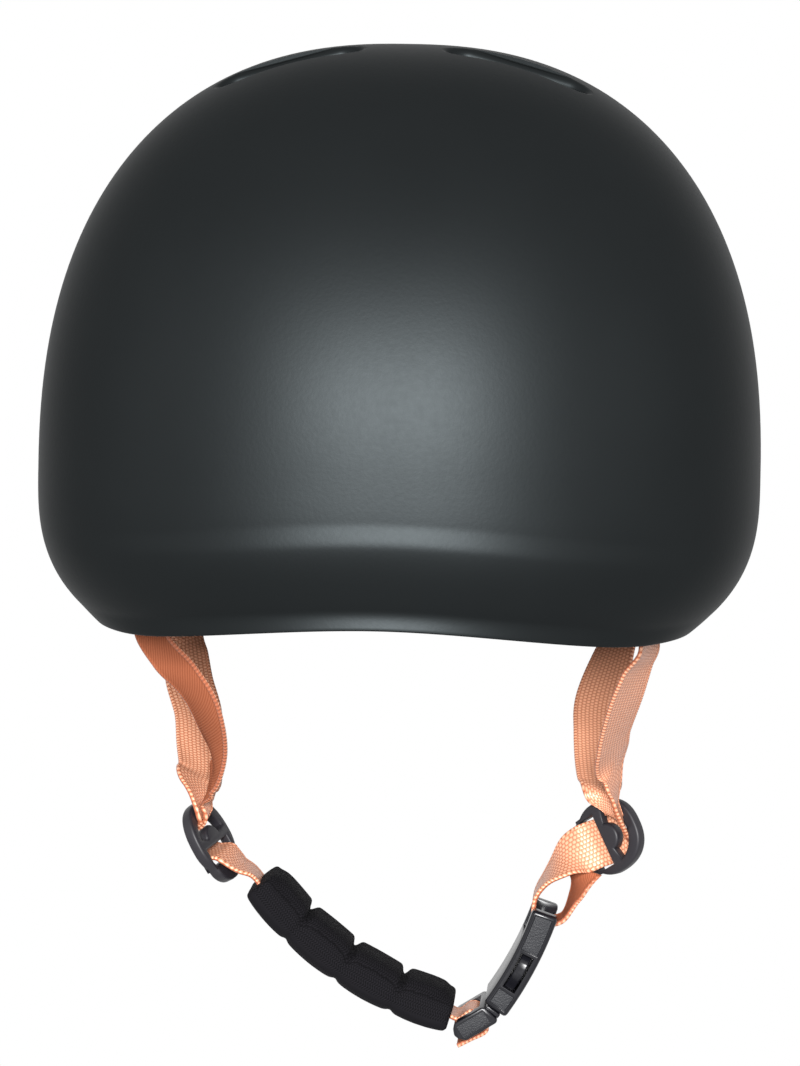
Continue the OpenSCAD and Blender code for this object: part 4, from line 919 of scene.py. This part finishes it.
def brow_cushion():
    return wall_cushion("brow_cushion", -52, 52, 30, 58, (0.25, 0.5, 0.75))


def side_cushion(side):
    ends = (78, 118) if side > 0 else (-118, -78)
    return wall_cushion("side_cushion_" + ("left" if side > 0 else "right"), *ends, 34, 84, (0.5,))


CROWN_PAD_R, CROWN_PAD_Y = 24, 6


def crown_cushion():
    turn, share = np.meshgrid(around(4), np.linspace(0, 1, 17), indexing="ij")
    reach = CROWN_PAD_R * share
    x, y = reach * np.cos(turn), CROWN_PAD_Y + reach * np.sin(turn)
    plump = plumped(PAD_THICK, (1 - share ** 5) ** 0.5)
    back = PAD_GAP + 0.6
    low, high = head_top_point(x, y, back + plump), head_top_point(x, y, back)
    rings = [low[:, i] for i in range(1, 17)] + [high[:, i] for i in range(16, 0, -1)]
    obj = subdivided(swollen(peaked("crown_cushion", rings, [low[0, 0], high[0, 0]]), 1.5, 0.75))
    co = coords(obj)
    r = np.hypot(co[:, 0], co[:, 1] - CROWN_PAD_Y)
    depth = head_top_point(co[:, 0], co[:, 1])[:, 2] - co[:, 2]
    drawn = drawn_in([(r, (CROWN_PAD_R / 2,))], [(r, (CROWN_PAD_R - HEM_IN,))])
    co[:, 2] += SEAM_DEEP * drawn * smooth((depth - PAD_GAP - 1.5) / 3)
    return cushion(obj, co, co[:, 0], co[:, 1])


NAPE_PAD_Y, NAPE_PAD_T = 83.2, 6


def nape_cushion():
    half_x, half_z = 20, 10.35
    u, v = grid(27, 15)
    x, z = mix(-half_x, half_x, u), 3 + mix(-half_z, half_z, v)
    plump = plumped(NAPE_PAD_T, rise_in(u) * rise_in(v))
    face = np.stack([x, NAPE_PAD_Y - plump, z], -1)
    back = np.stack([x, np.full_like(x, NAPE_PAD_Y), z], -1)
    obj = subdivided(swollen(slab("nape_cushion", face, back), 1.3, 0.5))
    co = coords(obj)
    drawn = drawn_in([(co[:, 0], (0,))], [(co[:, 0], (half_x - 3, 3 - half_x))])
    co[:, 1] += 2 * drawn * smooth((NAPE_PAD_Y - co[:, 1] - 0.7) / 3)
    return cushion(obj, co, co[:, 0], co[:, 2])


def chin_cushion():
    turn = around(5)
    s = np.linspace(0, 1, 100)[:, None]
    seg = np.abs(np.sin(pi * CHIN_SEGMENTS * s)) ** 0.6
    fat = (CHIN_T / 2 - 0.5 + np.where(np.sin(turn) < 0, 3.5, 1.4)) * (0.9 + 0.1 * seg)
    wide = (CHIN_W / 2 - 0.5) * (0.95 + 0.05 * seg)
    a = mix(CHIN_FROM + 0.3, CHIN_TO - 0.3, s)
    outer = chin_point(a, CHIN_R + fat * power(np.sin(turn), 0.6), wide * power(np.cos(turn), 0.5))
    bore = chin_point(a, CHIN_R + 1.15 * power(np.sin(turn), 0.2),
                      (WEB_W / 2 + 0.5) * power(np.cos(turn), 0.2))
    obj = closed_tube("chin_cushion", list(outer) + list(bore[::-1]))
    subdivided(swollen(obj, 1.1, 0.6))
    rel = coords(obj) - CHIN_HUB
    r, y = np.hypot(rel[:, 0], rel[:, 2]), rel[:, 1].copy()
    off = r - CHIN_R
    along = (np.degrees(np.arctan2(rel[:, 2], rel[:, 0])) - CHIN_FROM) / CHIN_DEG
    share = along / CHIN_LEN * CHIN_SEGMENTS
    seam = np.abs(share - np.round(share)) * CHIN_LEN / CHIN_SEGMENTS
    padded_part = (along > 4) & (along < CHIN_LEN - 4)
    in_bore = (np.abs(off) < 1.7) & (np.abs(y) < WEB_W / 2 + 1)
    pull = np.where(in_bore, 0, bell(seam / 1.1) * padded_part)
    rel[:, (0, 2)] *= ((CHIN_R + off * (1 - np.where(off < 0, 0.34, 0.1) * pull)) / r)[:, None]
    rel[:, 1] *= 1 - 0.03 * pull
    set_coords(obj, CHIN_HUB + rel)
    around_it = np.where(np.abs(y) > 11.5, off * np.sign(y) + y, y)
    weave(obj, np.stack([along, around_it, smooth((1.9 - off) / 0.6)], -1))
    return obj


# Side arms of the fit band
def band_z(b):
    return mix(12, 22, smooth((100 - np.abs(b)) / 85))


def arm(name, side):
    rows = []
    for b in (90, 96, 104, 114, 124, 134):
        z = mix(band_z(96), 3, smooth((b - 92) / 60))
        rows.append(head_point(radians(b), z, 4.4 + 3 * smooth((b - 100) / 40)))
    rows += [(48, 80.4, 3), (42.6, 83.2, 3), (37.2, 84, 3)]
    s = dense([facing(row, (0, 0, 1)) for row in rows], 10)
    s[:, 0] *= side
    turn = around(15)
    return swept(name, s, 4.5 * power(np.cos(turn), 0.15), 0.7 * power(np.sin(turn), 0.35), 50)


# Materials
class Look:
    """A material and the nodes that make its look."""

    def __init__(self, name, **shader):
        self.material = bpy.data.materials.new(name)
        self.material.use_nodes = True
        self.tree = self.material.node_tree
        self.shader = self.tree.nodes["Principled BSDF"]
        self.set(**shader)

    def set(self, **shader):
        for key, value in shader.items():
            self.put(self.shader.inputs[key.replace("_", " ")], value)

    def put(self, socket, value):
        if isinstance(value, bpy.types.NodeSocket):
            self.tree.links.new(value, socket)
        elif isinstance(value, tuple) and len(value) == 3 and socket.type == "RGBA":
            socket.default_value = (*value, 1)
        else:
            socket.default_value = value

    def node(self, kind, *sources, out=0, named=None, **settings):
        made_node = given(self.tree.nodes.new("ShaderNode" + kind), **settings)
        for i, source in enumerate(sources):
            self.put(made_node.inputs[i], source)
        for key, value in (named or {}).items():
            self.put(made_node.inputs[key], value)
        return made_node.outputs[out]

    def math(self, operation, *sources):
        return self.node("Math", *sources, operation=operation)

    def linear(self, field, factor, shift=0.0):
        return self.math("MULTIPLY_ADD", field, factor, shift)

    def ripple(self, field, pitch):
        return self.math("SINE", self.linear(field, 2 * pi / pitch))

    def hump(self, field, pitch, shift=0.0):
        return self.math("ABSOLUTE", self.math("SINE", self.linear(field, pi / pitch, shift)))

    def blend(self, factor, a, b, colours=False):
        """Mixes two colours or two numbers."""
        colours = colours or isinstance(a, tuple)
        n = self.tree.nodes.new("ShaderNodeMix")
        n.data_type = "RGBA" if colours else "FLOAT"
        first, second, result = (6, 7, 2) if colours else (2, 3, 0)
        for i, value in ((0, factor), (first, a), (second, b)):
            self.put(n.inputs[i], value)
        return n.outputs[result]

    def place(self, stretch=(1, 1, 1)):
        """The place in the piece's own frame, in millimetres."""
        where = self.node("TexCoord", out=3)
        return self.node("VectorMath", where, tuple(k / MM for k in stretch), operation="MULTIPLY")

    def weave(self):
        attribute = self.node("Attribute", out=1, attribute_name="weave")
        return self.node("SeparateXYZ", attribute).node.outputs

    def noise(self, where, scale, detail=3.0, rough=0.5):
        return self.node("TexNoise", named={"Vector": where, "Scale": scale, "Detail": detail,
                                            "Roughness": rough})

    def cells(self, where, scale, feature="F1"):
        return self.node("TexVoronoi", named={"Vector": where, "Scale": scale}, feature=feature)

    def raised(self, *heights):
        """The material, with bumps by a sum of pairs of a field and its height in millimetres."""
        total = 0.0
        for field, height in heights:
            total = self.linear(field, height, total)
        self.set(Normal=self.node("Bump", named={"Strength": 1.0, "Distance": MM, "Height": total}))
        return self.material


def shell_paint():
    look = Look("shell_paint", Metallic=0.85, Specular_IOR_Level=0.1, Specular_Tint=(0.5, 0.5, 0.5))
    where = look.place()
    tone = look.noise(where, 0.03, 2.0)
    look.set(Base_Color=look.blend(tone, (0.015, 0.0172, 0.018), (0.0175, 0.020, 0.021)),
             Roughness=look.blend(look.noise(where, 0.5), 0.45, 0.49))
    return look.raised((look.noise(where, 0.9, 2.0), 0.02), (look.noise(where, 5.0, 2.0), 0.006))


def bead_foam():
    look = Look("bead_foam", Roughness=0.75)
    where = look.place()
    edge = look.cells(where, 0.34, "DISTANCE_TO_EDGE")
    look.set(Base_Color=look.blend(look.cells(where, 0.34), (0.075, 0.068, 0.082), (0.045, 0.04, 0.05)))
    dome = look.math("POWER", look.math("MINIMUM", look.linear(edge, 3.0), 1.0), 0.5)
    return look.raised((dome, 0.16), (look.noise(where, 2.5), 0.03))


def plain(name, colour, rough, grain=0.01, scale=2.5, spot=0.0, **more):
    """Moulded plastic or rubber: a tone that wanders a little and a fine moulded grain."""
    look = Look(name, **more)
    where = look.place()
    light = tuple(k * 1.25 for k in colour)
    look.set(Base_Color=look.blend(look.noise(where, 0.15), colour, light),
             Roughness=look.blend(look.noise(where, 1.3), rough - 0.05, rough + 0.05))
    return look.raised((look.noise(where, scale, 4.0), grain), (look.cells(where, 2.6), spot))


def fabric(name, colour, light, pitch, sheen=0.35):
    """Warp knit: rows of small loops over a soft cloth, with a painted highlight on the loops' crowns and
    painted shade between them.
    """
    look = Look(name, Roughness=0.85, Specular_IOR_Level=0.08, Sheen_Weight=sheen, Sheen_Roughness=0.5)
    u, v, side = look.weave()
    rib = look.ripple(look.linear(look.ripple(v, 2.4), 0.3, u), pitch)
    loops = look.linear(look.linear(look.ripple(v, pitch * 1.3), 0.35, rib), side)
    # Painted light: the colour follows the loops' height, with the light colour as painted highlight on the
    # crowns and the dark one as painted shade in the dips.
    look.set(Base_Color=look.blend(look.linear(loops, 0.35, 0.5), colour, light))
    return look.raised((loops, 0.09), (look.noise(look.place(), 3.0, 4.0, 0.7), 0.06))


DASH_W, DASH_LEN = WEB_W / 12, 1.2


def webbing_cloth():
    """Rows of raised dashes on the shiny face, a fine twill on the other, beaded edges, painted lighter on
    raised threads as painted highlight and darker between them as painted shade.
    """
    look = Look("webbing_cloth", Sheen_Weight=0.0, Coat_Roughness=0.3, Coat_IOR=1.6)
    u, v, side = look.weave()
    shiny = look.math("GREATER_THAN", side, 0.0)
    column = look.math("FLOOR", look.math("DIVIDE", u, DASH_W))
    odd = look.linear(look.math("FLOORED_MODULO", column, 2.0), pi / 2)
    dash = look.linear(look.math("POWER", look.hump(u, DASH_W), 0.6),
                       look.math("POWER", look.hump(v, DASH_LEN, odd), 0.8))
    twill = look.linear(look.ripple(look.linear(v, 0.7, u), 0.95), 0.5, 0.5)
    off_middle = look.math("ABSOLUTE", look.math("SUBTRACT", u, WEB_W / 2))
    edge = look.math("GREATER_THAN", off_middle, WEB_W / 2 - 0.9)
    bead = look.linear(look.ripple(v, 1.3), 0.5, 0.5)
    height = look.blend(edge, look.blend(shiny, twill, dash), bead)
    # Painted light: the colour follows the weave's height, so dash tops, twill ridges and beads get a
    # painted highlight and the grooves between them get painted shade. The shiny face is lighter than the
    # other face, partly its own colour and partly painted highlight.
    painted_crown_highlight = look.blend(shiny, (0.48, 0.155, 0.078), (0.9, 0.46, 0.29))
    painted_groove_shade = look.blend(shiny, (0.36, 0.1, 0.046), (0.42, 0.105, 0.04))
    strength = look.math("MAXIMUM", shiny, edge)
    look.set(Base_Color=look.blend(look.math("POWER", height, 0.7), painted_groove_shade, painted_crown_highlight, colours=True),
             Metallic=look.linear(strength, 0.1), Coat_Weight=look.linear(strength, 0.12),
             Specular_IOR_Level=look.blend(strength, 0.05, 0.3),
             Roughness=look.blend(strength, 0.75, 0.36))
    thread = look.noise(look.place(), 4.0, 3.0, 0.6)
    return look.raised((height, look.blend(strength, 0.05, 0.13)), (thread, 0.02))


def brushed_steel():
    look = Look("brushed_steel", Metallic=1.0)
    line = look.noise(look.place((1, 6, 1)), 1.2, 4.0)
    look.set(Base_Color=look.blend(line, (0.42, 0.43, 0.45), (0.55, 0.56, 0.58)),
             Roughness=look.blend(line, 0.28, 0.4))
    return look.raised((line, 0.006))


# Assembly
def painted(obj, material):
    obj.data.materials.clear()
    obj.data.materials.append(material)
    return obj


def dress(obj, material, slot, body, *nodes):
    """Paints a piece, hides the nodes it stands for, and puts it on its body. Its slot is not used."""
    painted(obj, material)
    if nodes:
        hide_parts(*nodes)
    if isinstance(body, tuple):
        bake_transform(obj)
    else:
        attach(obj, body)


def metres(*point):
    return tuple(k * MM for k in point)


def keep(node, material, edge):
    """A construction node shown as it is, with softened edges and its material."""
    obj = painted(NODES[node], material)
    for face in obj.data.polygons:
        face.use_smooth = True
    modified(obj, "WELD", merge_threshold=0.002 * MM)
    modified(obj, "BEVEL", width=edge * MM, segments=2, limit_method="ANGLE",
             angle_limit=radians(35), harden_normals=True)


def assemble():
    moulded = plain("moulded_black", (0.020, 0.020, 0.022), 0.45, 0.012)
    divider_black = plain("divider_black", (0.014, 0.013, 0.016), 0.45, 0.012, Specular_IOR_Level=0.3)
    gloss = plain("gloss_black", (0.006, 0.006, 0.008), 0.25, 0.004, Specular_IOR_Level=0.28)
    grained = plain("grained_black", (0.016, 0.0165, 0.019), 0.5, 0.03, 4.0, spot=0.12,
                    Specular_IOR_Level=0.24)
    edge = plain("edge_foam", (0.016, 0.016, 0.018), 0.6, 0.03, 1.5)
    # Each knit's second, lighter colour is the painted highlight on its loops' crowns.
    pad = fabric("pad_knit", (0.018, 0.017, 0.02), (0.05, 0.048, 0.052), 0.9)
    chin = fabric("chin_knit", (0.002, 0.002, 0.0025), (0.012, 0.011, 0.0135), 0.8, 0.0)

    dress(shell(), shell_paint(), "shell", "root", "outer_shell")
    dress(liner(), bead_foam(), "foam", "root", "foam_liner")
    dress(rim_strip(), edge, "edge", "root", "edge_strip")
    for obj, node in ((brow_cushion(), "brow_pad"), (crown_cushion(), "crown_pad"),
                      (side_cushion(1), "side_pad_left"), (side_cushion(-1), "side_pad_right"),
                      (nape_cushion(), "nape_pad")):
        dress(obj, pad, "pad", "root", node)

    web = webbing_cloth()
    bend = ("root", "chin", metres(-58, -20, -18), metres(-61, -5, -46))
    left_web, right_web = chin_webs()
    for corner, run, end, shiny, body in (
            ("front_left", plan_stations(FRONT_LEFT), LEFT_FRONT_END, 1, "root"),
            ("rear_left", REAR_LEFT, slot_entry(LEFT, 135, 0, -1), -1, "root"),
            ("front_right", plan_stations(FRONT_RIGHT), right_end(RIGHT_FRONT_END, 106, 1, -1), -1,
             bend),
            ("rear_right", plan_stations(REAR_RIGHT), right_end(RIGHT_REAR_END, 108, 0, 1), 1, bend)):
        place, side = corner.split("_")
        strap = webbing("web_" + corner, anchor_loop(ROOTS[corner], run[0]) + run + end, shiny)
        dress(strap, web, "webbing", body, f"{place}_strap_{side}")
    dress(webbing("web_chin_left", left_web), web, "webbing", "root", "chin_strap_left")
    dress(webbing("web_chin_right", right_web), web, "webbing", "chin", "chin_strap_right")
    dress(divider("ring_left", LEFT), divider_black, "divider", "root", "divider_left")
    dress(divider("ring_right", RIGHT), divider_black, "divider", "chin", "divider_right")
    dress(chin_cushion(), chin, "chin_pad", "chin", "chin_pad")

    for obj, material, body, *nodes in (
            (socket(), gloss, "root", "buckle_socket"), (socket_bar(), gloss, "root"),
            (socket_panels(), grained, "root"), (tongue(), gloss, "chin", "buckle_tongue"),
            (tongue_panels(), grained, "chin"),
            (prong("catch_front", -1), gloss, "prong_front", "prong_front"),
            (prong("catch_rear", 1), gloss, "prong_rear", "prong_rear")):
        dress(obj, material, "buckle", body, *nodes)

    for side, name in ((1, "left"), (-1, "right")):
        ends = ("root", "rack_" + name, metres(side * 73, 20, 10), metres(side * 46, 81.5, 3))
        dress(arm("band_arm_" + name, side), moulded, "band", ends, "arm_" + name)
    steel = brushed_steel()
    acetal = plain("acetal_grey", (0.09, 0.09, 0.1), 0.4, 0.008)
    for material, soft, nodes in (
            (moulded, 0.3, "front_anchor_left front_anchor_right rear_anchor_left rear_anchor_right"),
            (moulded, 0.2, "front_band cradle_spine dial_housing housing_cover rack_left rack_right"),
            (moulded, 0.2, "band_pins"),
            (plain("hook_cloth", (0.02, 0.02, 0.02), 0.9, 0.12, 3.0), 0.1, "hook_dots"),
            (steel, 0.1, "housing_screws dial_screw"), (acetal, 0.1, "dial_pinion detent_ring"),
            (plain("grip_black", (0.018, 0.018, 0.02), 0.55, 0.025, 3.0), 0.3, "dial_knob")):
        for node in nodes.split():
            keep(node, material, soft)


# Light, background and camera
# Each light's place and target in metres, its width and height, and its watts
LIGHTS = (("key", (0.02, -1.65, 0.34), (0, -0.05, 0.04), 0.5, 0.4, 64),
          ("fill_left", (1.3, -0.6, 0.35), (0, 0, 0), 0.9, 0.9, 1.7),
          ("fill_right", (-1.3, -0.6, 0.35), (0, 0, 0), 0.9, 0.9, 1.7),
          ("low", (0.1, -1.0, -0.75), (0, 0, -0.06), 0.7, 0.5, 0.8))


def area_light(name, place, target, width, height, energy):
    obj = linked(name, given(bpy.data.lights.new(name, "AREA"), shape="RECTANGLE",
                             size=width, size_y=height, energy=energy))
    obj.location = place
    obj.rotation_euler = (Vector(target) - Vector(place)).to_track_quat("-Z", "Y").to_euler()


def background():
    """White where the camera, a reflection or a clear piece sees it, and dim as a light."""
    world = bpy.data.worlds.new("backdrop")
    SCENE.world = world
    world.use_nodes = True
    nodes, links = world.node_tree.nodes, world.node_tree.links
    nodes.clear()
    path = nodes.new("ShaderNodeLightPath")
    seen = path.outputs["Is Camera Ray"]
    for name in ("Is Glossy Ray", "Is Transmission Ray"):
        larger = given(nodes.new("ShaderNodeMath"), operation="MAXIMUM")
        links.new(seen, larger.inputs[0])
        links.new(path.outputs[name], larger.inputs[1])
        seen = larger.outputs[0]
    both, out = nodes.new("ShaderNodeMixShader"), nodes.new("ShaderNodeOutputWorld")
    links.new(seen, both.inputs["Fac"])
    for i, colour, strength in ((1, (0.9, 0.95, 1, 1), 0.12), (2, (1, 1, 1, 1), 1.0)):
        glow = nodes.new("ShaderNodeBackground")
        glow.inputs["Color"].default_value = colour
        glow.inputs["Strength"].default_value = strength
        links.new(glow.outputs[0], both.inputs[i])
    links.new(both.outputs[0], out.inputs["Surface"])


# Camera, from the pose that best fits the photograph's outline
CAM_TILT, CAM_ROLL, CAM_YAW, CAM_FAR, SENSOR_W = 6.0, 1.07, -3.04, 1.1, 36
FOCAL_PX, PHOTO_W, PHOTO_H, AXIS_X, AXIS_Y = 3596.0, 800, 1066, 400.2, 625.4


def camera():
    tilt, roll, yaw = (radians(k) for k in (CAM_TILT, CAM_ROLL, CAM_YAW))
    turn = Matrix(((cos(yaw), sin(yaw), 0), (-sin(yaw), cos(yaw), 0), (0, 0, 1)))
    back = Vector((0, -cos(tilt), sin(tilt)))
    up, right = Vector((0, sin(tilt), cos(tilt))), Vector((1, 0, 0))
    right, up = (right * cos(roll) + up * sin(roll),
                 up * cos(roll) - right * sin(roll))
    back, right, up = turn @ back, turn @ right, turn @ up
    place = back * CAM_FAR
    shift_x, shift_y = (PHOTO_W / 2 - AXIS_X) / FOCAL_PX, (AXIS_Y - PHOTO_H / 2) / FOCAL_PX
    back = (back - up * shift_y - right * shift_x).normalized()
    right = up.cross(back).normalized()
    up = back.cross(right)
    obj = linked("camera", given(bpy.data.cameras.new("camera"), sensor_width=SENSOR_W,
                                 lens=FOCAL_PX * SENSOR_W / PHOTO_H, clip_start=0.01))
    obj.matrix_world = Matrix([[right[i], up[i], back[i], place[i]] for i in range(3)] + [[0, 0, 0, 1]])
    SCENE.camera = obj


assemble()
background()
for light in LIGHTS:
    area_light(*light)
camera()
SCENE.view_settings.view_transform = "Standard"
